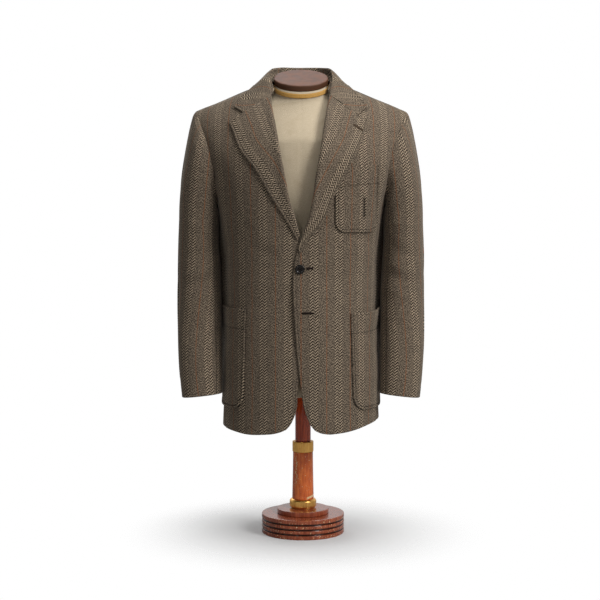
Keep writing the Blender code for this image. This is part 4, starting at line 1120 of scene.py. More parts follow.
# patch pockets: a rounded outline, a mouth band, and edges stitched down 6 mm in
pocketCut = {"lift": 0.0015, "width": 0.170, "round": 0.20, "tilt": 0.0035, "band": 0.0440,
             "left": {"start": 37.0, "sweep": 61.0, "top": 0.5100, "bottom": 0.2965,
                      "gape": 0.0058, "rise": 0.0090},
             "right": {"start": 43.0, "sweep": 61.0, "top": 0.5190, "bottom": 0.2975,
                       "gape": 0.0020, "rise": 0.0025},
             "seamAt": (72.0, 78.0), "gapeDeep": 0.050, "gapeStart": (0, 0.5),
             "gapeEnd": (0.9, 1.0), "riseEnd": 0.75,
             "flat": (0.178, 0.225), "area": 0.0377}
pocketFolds = {
    "left": foldRows(
        (20, 150, 100, 110, 8,  16, 1.2),
        (60, 170, 150, 120, -8, 14, -1.2),
        (30, 60,  130, 75,  6,  18, 1.1)),
    "right": foldRows(
        (25, 165, 120, 150, -6, 14, -1.2),
        (20, 100, 110, 130, 8,  18, 1.3),
        (50, 45,  140, 60,  -6, 16, -1))}


def roundedBottom(s, radius):
    # height of a patch pocket's lower edge, with quarter-round corners
    near = np.minimum(np.minimum(s, 1 - s) / radius, 1)
    return radius * (1 - np.sqrt(np.clip(1 - (1 - near)**2, 0, 1)))


def patchEdge(a, b, width, radius):
    # distance in from a patch's sides and foot, round its two lower corners
    out, low = np.abs(a - width / 2) - (width / 2 - radius), radius - b
    corner = radius - np.hypot(np.clip(out, 0, None), np.clip(low, 0, None))
    return np.minimum(corner, np.minimum(a, width - a))


def patchGrid(cut, wide, tall, footAt, mouthAt):
    # a patch pocket: places across and heights, how far in from its sides and foot, and how
    # far down from its mouth
    s, t = (spaced(size, grids["trimStep"], grids["edge"], grids["edge"]) for size in (wide, tall))
    foot, mouth = footAt(s), mouthAt(s)
    base = foot + wide * roundedBottom(s, cut["round"])
    z = base + (mouth - base) * t[:, None]
    edge = patchEdge(s * wide, z - foot, wide, cut["round"] * wide)
    return s, z, edge, mouth - z


def patchLift(cut, edge, down, full):
    # its stitched sides and mouth, and the row of stitches under the mouth's band
    groove = stitching["depth"] * bell(down - cut["band"], stitching["width"])
    return (coat["wall"] + pocketCut["lift"] + swelled(edge, full[0]) + swelled(down, full[1])
            - groove)


def buildLowerPocket(side):
    cut, name = pocketCut, sideName(side)
    own, wide = cut[name], cut["width"]
    s, z, edge, down = patchGrid(
        cut, wide, own["top"] - own["bottom"], lambda s: own["bottom"],
        lambda s: own["top"] - cut["tilt"] * s + own["rise"] * ease(s / cut["riseEnd"]) * s)
    angle = np.broadcast_to(own["start"] + own["sweep"] * s, z.shape)
    # over the front's folds, and flat past the side seam
    under = settle(side, outlineAt(angle, z)[..., 0], z) * (1 - rising(angle, cut["seamAt"]))
    lift = patchLift(cut, edge, down, (1.8, 0.8)) + under
    lift += creased(np.broadcast_to(s * wide, z.shape), z - own["bottom"],
                    pocketFolds[name]) * ease(edge / 0.02)
    # the mouth stands a little open, more towards the back
    share = rising(s, cut["gapeStart"]) * (1 - 0.5 * rising(s, cut["gapeEnd"]))
    lift += own["gape"] * (1 - ease(down / cut["gapeDeep"])) * share
    outer, normal = aroundAt(angle, z, lift)
    # painted shade along the stitch grooves of the edges and the band, and a faint dark line at the
    # edge
    shade = (paintedStitchShade(edge, 0.6) + paintedStitchShade(down - cut["band"] + stitching["inset"], 0.6)
             + 0.15 * bell(edge, 0.0012))
    makeCloth("pocket_lower_" + name, outer, normal, rounded(np.minimum(edge, down)),
              weaveAt(angle, z) * np.array([side, 1]), shade, side)


# the chest pocket's two sides: across, foot and mouth; its slit: across, and how far down
chestCut = {"inner": (0.0735, 0.6880, 0.8260), "outer": (0.1700, 0.6860, 0.8350), "round": 0.24,
            "band": 0.0400, "slit": (0.1355, 0.0670, 0.1100), "flat": (0.116, 0.156),
            "area": 0.0176}


def buildChestPocket():
    cut = chestCut
    (left, lowLeft, highLeft), (right, lowRight, highRight) = cut["inner"], cut["outer"]
    wide = right - left
    s, z, edge, down = patchGrid(cut, wide, highLeft - lowLeft,
                                 lambda s: lowLeft + (lowRight - lowLeft) * s,
                                 lambda s: highLeft + (highRight - highLeft) * s)
    x = np.broadcast_to(left + wide * s, z.shape)
    lift = patchLift(cut, edge, down, (1.0, 0.6)) + lapLift(1, x, z) + settle(1, x, z)
    lift += 0.0012 * (1 - ease(down / 0.030)) * np.sin(math.pi * s)
    # a short upright slot below the band, its lips a little raised
    place, high, low = cut["slit"]
    beside = x - place
    inside = ease((down - high) / 0.003) * (1 - ease((down - low) / 0.003))
    lift -= 0.0014 * bell(beside, 0.0012) * inside
    lift += 0.0004 * bell(np.abs(beside) - 0.003, 0.0016) * inside
    # painted shade along the stitch grooves, under the band, at the edges and the mouth, and inside
    # the slot
    shade = (paintedStitchShade(edge) + 0.42 * bell(down - cut["band"], 0.0019)
             + 0.4 * bell(edge, 0.0016) + 0.25 * bell(down, 0.0015)
             + bell(beside, 0.0024) * inside)
    outer, normal = clothAt(x, z, -1, lift)
    makeCloth("pocket_chest", outer, normal, rounded(np.minimum(edge, down)),
              panelWeave(x, z, -1), shade, 1)


# buttons and buttonholes
buttonCut = {"radius": 0.0105, "thick": 0.0027, "seat": 0.0013, "hole": 0.0011,
             "holeAt": 0.0021, "press": 0.0012, "back": 0.93, "rings": 40, "steps": 96,
             "thread": (0.0006, 0.00045), "arch": (0.00165, 0.00055)}
buttonProfile = columns("radius height",
    (0,     0.6), (0.3,   0.6), (0.52,  0.62),
    (0.62,  0.74), (0.72,  0.96), (0.82,  1),
    (0.92,  0.94), (0.975, 0.72), (1,     0.44))
holeCut = {"width": 0.0012, "thread": 0.0011, "steps": 120, "round": 12,
           "lapel": (0.1129, 0.9189, 0.1322, 0.9063)}
buttonholes = millimetres("x0 z0 x1 z1",
    (12, 610, 25.1, 611),
    (2,  513, 27.2, 513))


def framed(point, normal, local):
    # local x, y and height laid on the cloth at a point, with x level
    level = unit(np.cross([0, 0, 1.0], normal))
    rise = np.cross(normal, level)
    return point + local[..., :1] * level + local[..., 1:2] * rise + local[..., 2:] * normal


def rideAs(piece, node):
    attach(piece, "root")
    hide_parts(node)
    return piece


def buildButton():
    # a polar grid over the face and the back, with four holes pressed through the face
    cut, away = buttonCut, buttonCut["holeAt"]
    r, turn = np.linspace(0.02, 1, cut["rings"])[:, None], turns(cut["steps"])[None]
    x, y = cut["radius"] * r * np.cos(turn), cut["radius"] * r * np.sin(turn)
    height = cut["thick"] * smooth(r, buttonProfile["radius"], buttonProfile["height"]) + 0 * turn
    near = np.hypot(np.abs(x) - away, np.abs(y) - away) / cut["hole"]
    height -= cut["press"] * (1 - ease((near - 0.7) / 0.6))
    face = np.stack([x, y, height], axis=-1)
    back = np.stack([x * cut["back"], y * cut["back"], 0 * height], axis=-1)[::-1]
    place = frontCut["button"]
    point, normal = clothAt(*place, -1, lapLift(1, *place) + cut["seat"])
    point = toWorld(point, 1)
    face = roundPiece("button_upper_face", framed(point, normal, np.concatenate([face, back])))
    rideAs(face, "button_upper")
    # thread through the holes, in two bars
    u, v = np.linspace(-1, 1, 25)[:, None], turns(14)[None]
    (wide, deep), (low, rise) = cut["thread"], cut["arch"]
    threads = []
    for offset, label in ((-away, "lower"), (away, "upper")):
        arch = low + rise * np.sqrt(np.clip(1 - u**2, 0, 1)) + 0 * v
        bar = np.stack([away * u + 0 * v, offset + wide * np.cos(v) + 0 * u,
                        arch + deep * np.sin(v)], axis=-1)
        thread = roundPiece("button_thread_" + label, framed(point, normal, bar))
        threads.append(rideAs(thread, "button_upper"))
    print("button")
    return face, threads


def buttonholePiece(name, start, end, facingOf):
    # a worked hole: a ring of close stitches round a slit
    cut = holeCut
    start, end = np.array(start), np.array(end)
    along = unit(end - start)
    size = np.linalg.norm(end - start)
    side = np.array([-along[1], along[0]])
    turn = turns(cut["steps"])
    # the loop is a stadium: a straight run each way and a half round at both ends
    c, s = np.cos(turn), np.sin(turn)
    stretch = np.sign(c) * np.abs(c)**0.35 * (size / 2 - cut["width"]) + c * cut["width"]
    loop = (start + end) / 2 + stretch[:, None] * along + (s * cut["width"])[:, None] * side
    away = unit(np.stack([c * 0.4, s], axis=-1) @ np.stack([along, side]))
    v = turns(cut["round"])[:, None]
    ripple = 1 + 0.16 * np.sign(np.sin(turn * 46))
    spot = loop[None] + (np.cos(v) * cut["thread"] * ripple)[..., None] * away[None]
    height = np.sin(v) * cut["thread"] * 0.8 * ripple
    base, normal = facingOf(spot[..., 0], spot[..., 1])
    return ringPiece(name, base + (height + cut["thread"] * 0.35)[..., None] * normal)


def onFront(x, z):
    # points on the face of the left front, and the way it looks
    lift = lapLift(1, x, z) + settle(1, x, z)
    points, normal = clothAt(x, z, -1, lift)
    return toWorld(points, 1), normal


def buildButtonholes(lapel):
    rows = list(zip(*buttonholes.values()))
    made = [buttonholePiece("buttonhole_" + label, (x0, z0), (x1, z1), onFront)
            for label, (x0, z0, x1, z1) in zip(("upper", "lower"), rows)]
    for piece in made:
        rideAs(piece, "front_left")
    # the lapel's own hole lies square to its edge, near the notch
    x0, z0, x1, z1 = holeCut["lapel"]

    def onLapel(x, z):
        points, normal = clothAt(x, z, -1, lapel["liftAt"]((x0 + x1) / 2, (z0 + z1) / 2))
        return toWorld(points, 1), normal

    hole = buttonholePiece("buttonhole_lapel", (x0, z0), (x1, z1), onLapel)
    rideAs(hole, "lapel_left")
    print("buttonholes")
    return made + [hole]


# the dress form: a smooth torso kept inside the coat, growing into a tilted neck
form = {"clearY": 0.0056, "clearZ": 0.0026, "dip": 0.022, "dipReach": (0.062, 0.120),
        "neckTilt": 0.42, "neckStart": (0.90, 0.96), "blend": 8, "foot": 0.321, "levelTop": 0.975,
        "halvings": 24, "settlings": 8, "crowd": 0.16, "columns": 200, "rows": 110,
        "neckRows": 26, "capHeight": 1.028, "capThick": 0.0140, "seam": 0.0003,
        "seamDepth": 0.0007, "seamWidth": 0.0012}
formRows = millimetres("height halfWidth front back",
    (321,  130, 108, 108),
    (335,  140, 118, 118),
    (400,  148, 125, 126),
    (500,  143, 118, 114),
    (600,  138, 112, 101),
    (700,  152, 120, 108),
    (780,  169, 128, 119),
    (840,  177, 127, 121),
    (900,  190, 120, 118),
    (935,  203, 116, 116),
    (970,  210, 110, 110),
    (1030, 215, 110, 110))
neckRows = millimetres("height halfWidth halfDepth centre",
    (930,  66,   60, 12),
    (965,  62,   58, 7),
    (990,  59,   54, 2),
    (1030, 57.5, 51, 0))


def neckRadius(z, c, s):
    # from the form's axis to an ellipse with its own centre: the larger root of its equation
    halfWidth, halfDepth, centre = readOff(neckRows, z, "halfWidth", "halfDepth", "centre")
    shift = coat["shoulderY"] - centre
    a = (c / halfWidth)**2 + (s / halfDepth)**2
    b = s * shift / halfDepth**2
    neck = (-b + np.sqrt(b**2 - a * ((shift / halfDepth)**2 - 1))) / a
    return neck * rising(z, form["neckStart"])


def formRadius(z, bearing):
    # from the form's axis to its surface: its own outline, halved inward until inside the coat
    c, s = np.cos(bearing), np.sin(bearing)
    width, front, back = readOff(formRows, z, "halfWidth", "front", "back")
    reach, square = np.where(s < 0, front, back), coat["square"]
    high = (np.abs(c / width)**square + np.abs(s / reach)**square)**(-1 / square)
    low = np.zeros_like(high)
    for _ in range(form["halvings"]):
        middle = (low + high) / 2
        x, y = middle * c, coat["shoulderY"] + middle * s
        over = z + form["clearZ"] + form["dip"] * (1 - rising(np.abs(x), form["dipReach"]))
        inside = ((y > depthAt(x, over, -1) + form["clearY"])
                  & (y < depthAt(x, over, 1) - form["clearY"]) & (ridge(x) > over))
        low, high = np.where(inside, middle, low), np.where(inside, high, middle)
    power = form["blend"]
    return (low**power + neckRadius(z, c, s)**power)**(1 / power)


def neckTop(y):
    thick = form["capThick"] * math.hypot(1, form["neckTilt"])
    return form["capHeight"] - thick - form["seam"] + form["neckTilt"] * y


def formLines(bearing, heightAt, out=0.0):
    # lines round the form whose heights are a function of y, settled in a few passes
    z = heightAt(np.zeros_like(bearing)) + np.zeros_like(bearing)
    for _ in range(form["settlings"]):
        radius = formRadius(z, bearing)
        y = coat["shoulderY"] + radius * np.sin(bearing)
        z = heightAt(y) + np.zeros_like(bearing)
    radius = radius + out
    return np.stack([radius * np.cos(bearing), coat["shoulderY"] + radius * np.sin(bearing), z],
                    axis=-1)


def buildForm():
    level = np.linspace(form["foot"], form["levelTop"], form["rows"])[:, None]
    share = np.linspace(0, 1, form["neckRows"] + 1)[1:, None]
    even, top = turns(form["columns"]), form["levelTop"]
    bearing = (even - form["crowd"] * np.sin(2 * even))[None]
    torso = formLines(np.broadcast_to(bearing, (form["rows"], bearing.size)), lambda y: level)
    neck = formLines(np.broadcast_to(bearing, (form["neckRows"], bearing.size)),
                     lambda y: top + (neckTop(y) - top) * share)
    rings = np.concatenate([torso, neck])
    # a seam down the middle of the cover, front and back
    above = rings[..., 2] > form["foot"] + 0.02
    seam = form["seamDepth"] * bell(rings[..., 0], form["seamWidth"]) * above
    inward = unit((np.array([0, coat["shoulderY"], 0]) - rings) * np.array([1, 1, 0]))
    rings = rings + seam[..., None] * inward
    closed = np.concatenate([rings, rings[:, :1]], axis=1)
    weave = np.stack([walked(closed, 1), closed[..., 2]], axis=-1)
    print("form")
    return rideAs(roundPiece("form_cover", toWorld(rings, 1), weave), "form_body")


braidCut = {"top": 0.0015, "foot": 0.0110, "inside": 0.0020, "outside": 0.0034, "plait": 0.0046}


def buildBraid():
    # a flat band with rounded edges, plaited: two runs of bumps that lean towards each other
    cut = braidCut
    part = np.linspace(0, 1, 21)
    drop = cut["top"] + (cut["foot"] - cut["top"]) * part
    bearing = turns(480)[None]
    half = math.pi * part
    bulge = cut["inside"] + 0.0003 + (cut["outside"] - cut["inside"] - 0.0003) * np.sin(half)**0.35
    lines = [formLines(bearing, lambda y, d=d: neckTop(y) - d, b)[0] for d, b in zip(drop, bulge)]
    back = [formLines(bearing, lambda y, d=d: neckTop(y) - d, cut["inside"])[0]
            for d in drop[::-4]]
    rings = np.array(lines + back)
    away = unit((rings - np.array([0, coat["shoulderY"], 0])) * np.array([1, 1, 0]))
    along = walked(np.concatenate([rings, rings[:, :1]], axis=1), 1)
    total = along[:, -1:]
    count = np.round(total[:1] / cut["plait"])
    place = along[:, :-1] / total * count
    lean = np.concatenate([np.abs(part - 0.5), np.zeros(len(back))])[:, None]
    front = np.concatenate([np.sin(half), np.zeros(len(back))])[:, None]
    plait = np.abs(np.sin(math.pi * (place + 1.1 * lean)))
    rings = rings + ((plait - 0.6) * 0.00040 * front)[..., None] * away
    rings = rings - (0.00035 * bell(lean, 0.05) * front)[..., None] * away
    print("braid")
    return rideAs(ringPiece("neck_braid_band", toWorld(rings, 1)), "neck_braid")


def roundedProfile(points, radius, steps=7):
    # a polygon of radius and height with its corners rounded off by short curves
    points = np.array(points, dtype=float)
    found = [points[:1]]
    for before, corner, after in zip(points[:-2], points[1:-1], points[2:]):
        a, b = np.linalg.norm(before - corner), np.linalg.norm(after - corner)
        r = min(radius, a * 0.49, b * 0.49)
        start = corner + (before - corner) / a * r
        end = corner + (after - corner) / b * r
        t = np.linspace(0, 1, steps)[:, None]
        found.append((1 - t)**2 * start + 2 * t * (1 - t) * corner + t**2 * end)
    return np.concatenate(found + [points[-1:]])


def subdivided(profile, step):
    # the same profile with points no further apart than a step
    parts = [np.linspace(a, b, max(2, math.ceil(np.linalg.norm(b - a) / step) + 1))[:-1]
             for a, b in zip(profile[:-1], profile[1:])]
    return np.concatenate(parts + [profile[-1:]])


def turnedPiece(name, profile, steps=144):
    # radius and height carried round the upright axis
    profile = np.asarray(profile)
    profile = profile[profile[:, 0] > 1e-6]
    turn = turns(steps)[None]
    r, h = profile[:, 0][:, None], profile[:, 1][:, None]
    rings = np.stack([r * np.cos(turn), r * np.sin(turn), h + 0 * turn], axis=-1)
    return roundPiece(name, rings)


cap = {"width": 0.0610, "depth": 0.0545, "round": 0.0035}


def buildCap():
    # a tilted oval disc with rounded rims
    thick = form["capThick"]
    profile = roundedProfile([(-0.9, 0), (0, 0), (0, -thick), (-0.9, -thick)], cap["round"])
    profile = profile[1:-1]
    inner = np.linspace(0.045, 0.006, 7)[:, None] * np.array([[-1, 0]])
    profile = np.concatenate([inner, profile, inner[::-1] + np.array([[0, -thick]])])
    turn = turns(160)[None]
    inset, height = profile[:, 0][:, None], profile[:, 1][:, None]
    x = (cap["width"] + inset) * np.cos(turn)
    y = (cap["depth"] + inset) * np.sin(turn)
    tilt = math.atan(form["neckTilt"])
    z = height + 0 * turn
    rings = np.stack([x, y * math.cos(tilt) - z * math.sin(tilt),
                      y * math.sin(tilt) + z * math.cos(tilt) + form["capHeight"]], axis=-1)
    print("cap")
    return rideAs(roundPiece("neck_cap_disc", toWorld(rings, 1)), "neck_cap")


# the stand: a ribbed base, a step, two posts and two rings, all turned
stand = {"plinth": (0.0937, 0.0440), "ribs": 4, "groove": (0.0035, 0.0028), "round": 0.0017,
         "step": (0.0587, 0.0443, 0.0552, 0.0015), "upperRing": (0.0239, 0.1848, 0.2085, 0.0012),
         "upperPost": (0.0176, 0.2088, 0.3207, 0.0008)}
lowerRing = millimetres("radius height",
    (1, 76.5), (26.3, 76.5), (28.3, 75), (30.3, 72.5), (30.3, 59), (27.3, 57.5), (27.3, 55.5),
    (1, 55.5))
lowerPost = millimetres("radius height",
    (1, 184.5), (22.6, 184.5), (23.2, 140), (24.5, 76.8), (1, 76.8))


def plinthProfile():
    # stacked rounded ribs with grooves between them
    (radius, top), (wide, deep) = stand["plinth"], stand["groove"]
    pitch, corner = top / stand["ribs"], stand["round"]
    points = [(0.001, top)]
    for rib in range(stand["ribs"]):
        last = rib == stand["ribs"] - 1
        high = top - rib * pitch - (wide / 2 if rib else 0)
        low = top - (rib + 1) * pitch + (0 if last else wide / 2)
        points += [(radius, high), (radius, low)]
        if not last:
            points += [(radius - deep - corner, low), (radius - deep - corner, low - wide)]
    return roundedProfile(points + [(0.001, 0)], corner)


def discProfile(radius, low, high, corner):
    return roundedProfile([(0.001, high), (radius, high), (radius, low), (0.001, low)], corner)


def buildStand():
    shapes = {"base_plinth": (plinthProfile(), "wood"),
              "base_step": (discProfile(*stand["step"]), "wood"),
              "ring_lower": (roundedProfile(list(zip(*lowerRing.values())), 0.0012), "brass"),
              "post_lower": (roundedProfile(list(zip(*lowerPost.values())), 0.0008), "wood"),
              "ring_upper": (discProfile(*stand["upperRing"]), "brass"),
              "post_upper": (discProfile(*stand["upperPost"]), "wood")}
    print("stand")
    return {node: rideAs(turnedPiece(node + "_turned", subdivided(profile, 0.006)), node)
            for node, (profile, slot) in shapes.items()}


# node helpers: a value is a socket to link or a number to set
def wired(tree, kind, values=None, **settings):
    node = tree.nodes.new(kind)
    for key, value in settings.items():
        setattr(node, key, value)
    for key, value in (values or {}).items():
        if isinstance(value, bpy.types.NodeSocket):
            tree.links.new(value, node.inputs[key])
        else:
            node.inputs[key].default_value = value
    return node


def calc(tree, operation, *values):
    return wired(tree, "ShaderNodeMath", dict(enumerate(values)), operation=operation).outputs[0]


def chained(tree, operation, values):
    found = values[0]
    for value in values[1:]:
        found = calc(tree, operation, found, value)
    return found


def plus(tree, *values):
    return chained(tree, "ADD", values)


def times(tree, *values):
    return chained(tree, "MULTIPLY", values)


def apartFrom(tree, value, place):
    return calc(tree, "ABSOLUTE", calc(tree, "SUBTRACT", value, place))


def arrow(tree, operation, values):
    return wired(tree, "ShaderNodeVectorMath", values, operation=operation).outputs


def between(tree, value, low, high, start=0.0, end=1.0):
    # a soft step from start to end as the value goes from low to high
    return wired(tree, "ShaderNodeMapRange",
                 {"Value": value, "From Min": low, "From Max": high, "To Min": start,
                  "To Max": end}, interpolation_type="SMOOTHSTEP").outputs[0]


def blended(tree, share, first, second, kind="MIX"):
    return wired(tree, "ShaderNodeMix", {0: share, 6: first, 7: second}, data_type="RGBA",
                 blend_type=kind).outputs[2]


def noise(tree, place, scale, detail=3.0, roughness=0.55, output=0):
    return wired(tree, "ShaderNodeTexNoise", {"Vector": place, "Scale": scale, "Detail": detail,
                                              "Roughness": roughness}).outputs[output]


def stretched(tree, place, scale):
    return wired(tree, "ShaderNodeMapping", {"Vector": place, "Scale": scale}).outputs[0]


def parted(tree, place):
    return wired(tree, "ShaderNodeSeparateXYZ", {0: place}).outputs


def objectPlace(tree):
    return wired(tree, "ShaderNodeTexCoord").outputs["Object"]


def weavePlace(tree):
    return wired(tree, "ShaderNodeUVMap", uv_map="weave").outputs[0]


def newGroup(name, given, results):
    # inputs are numbers with a starting value, or vectors where it is None; results are numbers
    tree = bpy.data.node_groups.new(name, "ShaderNodeTree")
    for label, value in given.items():
        kind = "NodeSocketVector" if value is None else "NodeSocketFloat"
        socket = tree.interface.new_socket(label, in_out="INPUT", socket_type=kind)
        if value is not None:
            socket.default_value = value
    for label in results:
        tree.interface.new_socket(label, in_out="OUTPUT", socket_type="NodeSocketFloat")
    return tree, tree.nodes.new("NodeGroupInput").outputs, tree.nodes.new("NodeGroupOutput").inputs


def placed(tree, group, values):
    return wired(tree, "ShaderNodeGroup", values, node_tree=group).outputs


def newMaterial(name, **fixed):
    # a material with one shader; fixed numbers go on the shader's own sockets
    made = bpy.data.materials.new(name)
    made.use_nodes = True
    tree = made.node_tree
    shader = tree.nodes["Principled BSDF"]
    for key, value in fixed.items():
        shader.inputs[key.replace("_", " ")].default_value = value
    return made, tree, shader


def feed(tree, shader, **values):
    # what varies over the surface is linked to the shader
    for key, value in values.items():
        tree.links.new(value, shader.inputs[key.replace("_", " ")])


def bumped(tree, height, distance, strength):
    return wired(tree, "ShaderNodeBump", {"Height": height, "Distance": distance,
                                          "Strength": strength}).outputs[0]


tweed = {"repeat": 0.0557, "columns": 10, "pitch": 0.00625, "lean": 1.0,
         "dark": (0.0045, 0.0034, 0.0027, 1), "cream": (0.415, 0.325, 0.233, 1),
         "groundDark": (0.036, 0.0280, 0.0215, 1), "groundLight": (0.300, 0.234, 0.169, 1),
         "rust": (0.235, 0.086, 0.034, 1), "line": 0.00072, "boldAt": 0.4,
         "bold": (0.057, 0.045), "middle": 0.36, "waver": 0.0016,
         "faded": (0.72, 0.72, 0.74, 1), "deep": (1.24, 1.22, 1.16, 1),
         "hair": (0.42, 0.36, 0.28, 1)}


def twillGroup():
    # mirrored columns of slanting strokes: the phase runs along the cloth and leans with the
    # distance into each column
    tree, given, put = newGroup("twillStrokes", {"Across": 0.0, "Along": 0.0, "Column": 0.0093,
                                                 "Pitch": 0.004, "Lean": 1.0}, ["Stroke"])
    half = times(tree, given["Column"], 0.5)
    slant = calc(tree, "PINGPONG", plus(tree, given["Across"], half), given["Column"])
    place = calc(tree, "SUBTRACT", given["Along"], times(tree, slant, given["Lean"]))
    turn = times(tree, calc(tree, "DIVIDE", place, given["Pitch"]), 2 * math.pi)
    wave = calc(tree, "MULTIPLY_ADD", calc(tree, "SINE", turn), 0.5, 0.5)
    tree.links.new(wave, put["Stroke"])
    return tree


def tweedMaterial(twill):
    cut = tweed
    made, tree, shader = newMaterial("tweed_herringbone", Roughness=0.95, Sheen_Weight=0.22,
                                     Sheen_Roughness=0.45, Sheen_Tint=(0.75, 0.68, 0.58, 1),
                                     Specular_IOR_Level=0.15)
    uv = weavePlace(tree)
    loose = noise(tree, uv, 300.0, 2.0, output=1)
    shift = arrow(tree, "SUBTRACT", {0: loose, 1: (0.5, 0.5, 0.5)})[0]
    shift = arrow(tree, "SCALE", {0: shift, "Scale": cut["waver"]})[0]
    across, along = parted(tree, arrow(tree, "ADD", {0: uv, 1: shift})[0])[:2]
    band = calc(tree, "PINGPONG", across, cut["repeat"] / 2)
    apart = calc(tree, "SUBTRACT", calc(tree, "DIVIDE", band, cut["repeat"]), cut["boldAt"])
    bold = between(tree, calc(tree, "ABSOLUTE", apart), *cut["bold"])
    middle = between(tree, apart, *cut["bold"][::-1], 0.0, cut["middle"])
    strokes = placed(tree, twill, {"Across": across, "Along": along, "Pitch": cut["pitch"],
                                   "Column": cut["repeat"] / cut["columns"],
                                   "Lean": cut["lean"]})[0]
    speck = noise(tree, uv, 900.0, 1.0)
    fleck = noise(tree, uv, 420.0, 2.0, 0.6)
    patch = noise(tree, uv, 60.0, 3.0, 0.6)
    # two bold columns and a fainter middle one to a band, of near-black and cream strokes
    ragged = plus(tree, strokes, calc(tree, "MULTIPLY_ADD", fleck, 0.4, -0.20))
    boldColour = blended(tree, between(tree, ragged, 0.48, 0.76), cut["dark"], cut["cream"])
    # the other columns: the same strokes, nearly lost in dark and light flecks
    mottle = plus(tree, times(tree, strokes, 0.065),
                  plus(tree, times(tree, speck, 0.25), times(tree, fleck, 0.66)))
    ground = blended(tree, between(tree, mottle, 0.40, 0.63), cut["groundDark"],
                     cut["groundLight"])
    colour = blended(tree, calc(tree, "MAXIMUM", bold, middle), ground, boldColour)
    # one thin rust line, broken where the yarn dips
    line = between(tree, calc(tree, "ABSOLUTE", band), cut["line"] * 1.5, cut["line"] * 0.5)
    line = times(tree, line, between(tree, fleck, 0.34, 0.52, 0.30, 0.90))
    colour = blended(tree, line, colour, cut["rust"])
    # slow change of depth over the cloth, painted shade in seams, stitch grooves and pocket edges,
    # a few pale hairs
    colour = blended(tree, 1.0, colour, blended(tree, patch, cut["faded"], cut["deep"]),
                     "MULTIPLY")
    # painted shade read from the seam attribute, towards the darkest stroke colour
    paintedSeamShade = wired(tree, "ShaderNodeAttribute", attribute_name="seam").outputs["Fac"]
    colour = blended(tree, paintedSeamShade, colour, cut["dark"])
    hair = between(tree, noise(tree, stretched(tree, uv, (1, 0.25, 1)), 1400.0, 2.0), 0.68, 0.74)
    colour = blended(tree, times(tree, hair, 0.15), colour, cut["hair"])
    height = plus(tree, times(tree, strokes, 0.35), times(tree, speck, 0.3))
    feed(tree, shader, Base_Color=colour, Normal=bumped(tree, height, 0.0006, 0.7))
    return made


def threadGroup():
    # plain weave: two sets of threads whose crowns take turns, as a height and an over or under
    tree, given, put = newGroup("threadCrossing", {"Across": 0.0, "Along": 0.0, "Size": 0.001},
                                ["Height", "Over"])
    a, b = (calc(tree, "SINE", calc(tree, "DIVIDE", times(tree, given[way], math.pi),
                                    given["Size"])) for way in ("Across", "Along"))
    over = calc(tree, "MULTIPLY_ADD", times(tree, a, b), 0.5, 0.5)
    height = calc(tree, "MAXIMUM", calc(tree, "ABSOLUTE", a), calc(tree, "ABSOLUTE", b))
    tree.links.new(height, put["Height"])
    tree.links.new(over, put["Over"])
    return tree


def linenMaterial(thread):
    made, tree, shader = newMaterial("linen_cover", Roughness=0.9, Specular_IOR_Level=0.2,
                                     Sheen_Weight=0.1)
    uv = weavePlace(tree)
    across, along = parted(tree, uv)[:2]
    height, over = placed(tree, thread, {"Across": across, "Along": along, "Size": 0.0008})
    slub = noise(tree, stretched(tree, uv, (1, 12, 1)), 90.0, 4.0)
    patch = noise(tree, uv, 18.0, 4.0)
    colour = blended(tree, slub, (0.46, 0.37, 0.25, 1), (0.62, 0.53, 0.39, 1))
    colour = blended(tree, times(tree, over, 0.30), colour, (0.33, 0.26, 0.17, 1))
    colour = blended(tree, between(tree, patch, 0.5, 0.75, 0.0, 0.35), colour,
                     (0.38, 0.29, 0.18, 1))
    feed(tree, shader, Base_Color=colour, Normal=bumped(tree, height, 0.0004, 0.5))
    return made


def braidMaterial():
    made, tree, shader = newMaterial("ochre_braid", Roughness=0.75, Sheen_Weight=0.15)
    place = objectPlace(tree)
    colour = blended(tree, noise(tree, place, 700.0), (0.30, 0.140, 0.020, 1),
                     (0.62, 0.345, 0.070, 1))
    fibre = noise(tree, stretched(tree, place, (1, 1, 3)), 1500.0)
    feed(tree, shader, Base_Color=colour, Normal=bumped(tree, fibre, 0.0003, 0.6))
    return made


def hornMaterial():
    made, tree, shader = newMaterial("dark_horn", Roughness=0.3, Coat_Weight=0.2,
                                     Coat_Roughness=0.12, Specular_IOR_Level=0.3)
    streak = noise(tree, stretched(tree, objectPlace(tree), (1, 1, 3)), 260.0, 4.0)
    colour = blended(tree, between(tree, streak, 0.45, 0.75), (0.005, 0.004, 0.0035, 1),
                     (0.020, 0.013, 0.009, 1))
    feed(tree, shader, Base_Color=colour, Roughness=between(tree, streak, 0.3, 0.8, 0.22, 0.42))
    return made


def threadMaterial(name, dark, light):
    made, tree, shader = newMaterial(name, Roughness=0.85, Specular_IOR_Level=0.15)
    place = objectPlace(tree)
    feed(tree, shader, Base_Color=blended(tree, noise(tree, place, 2200.0, 2.0), dark, light),
         Normal=bumped(tree, noise(tree, place, 2600.0, 2.0), 0.0002, 0.6))
    return made


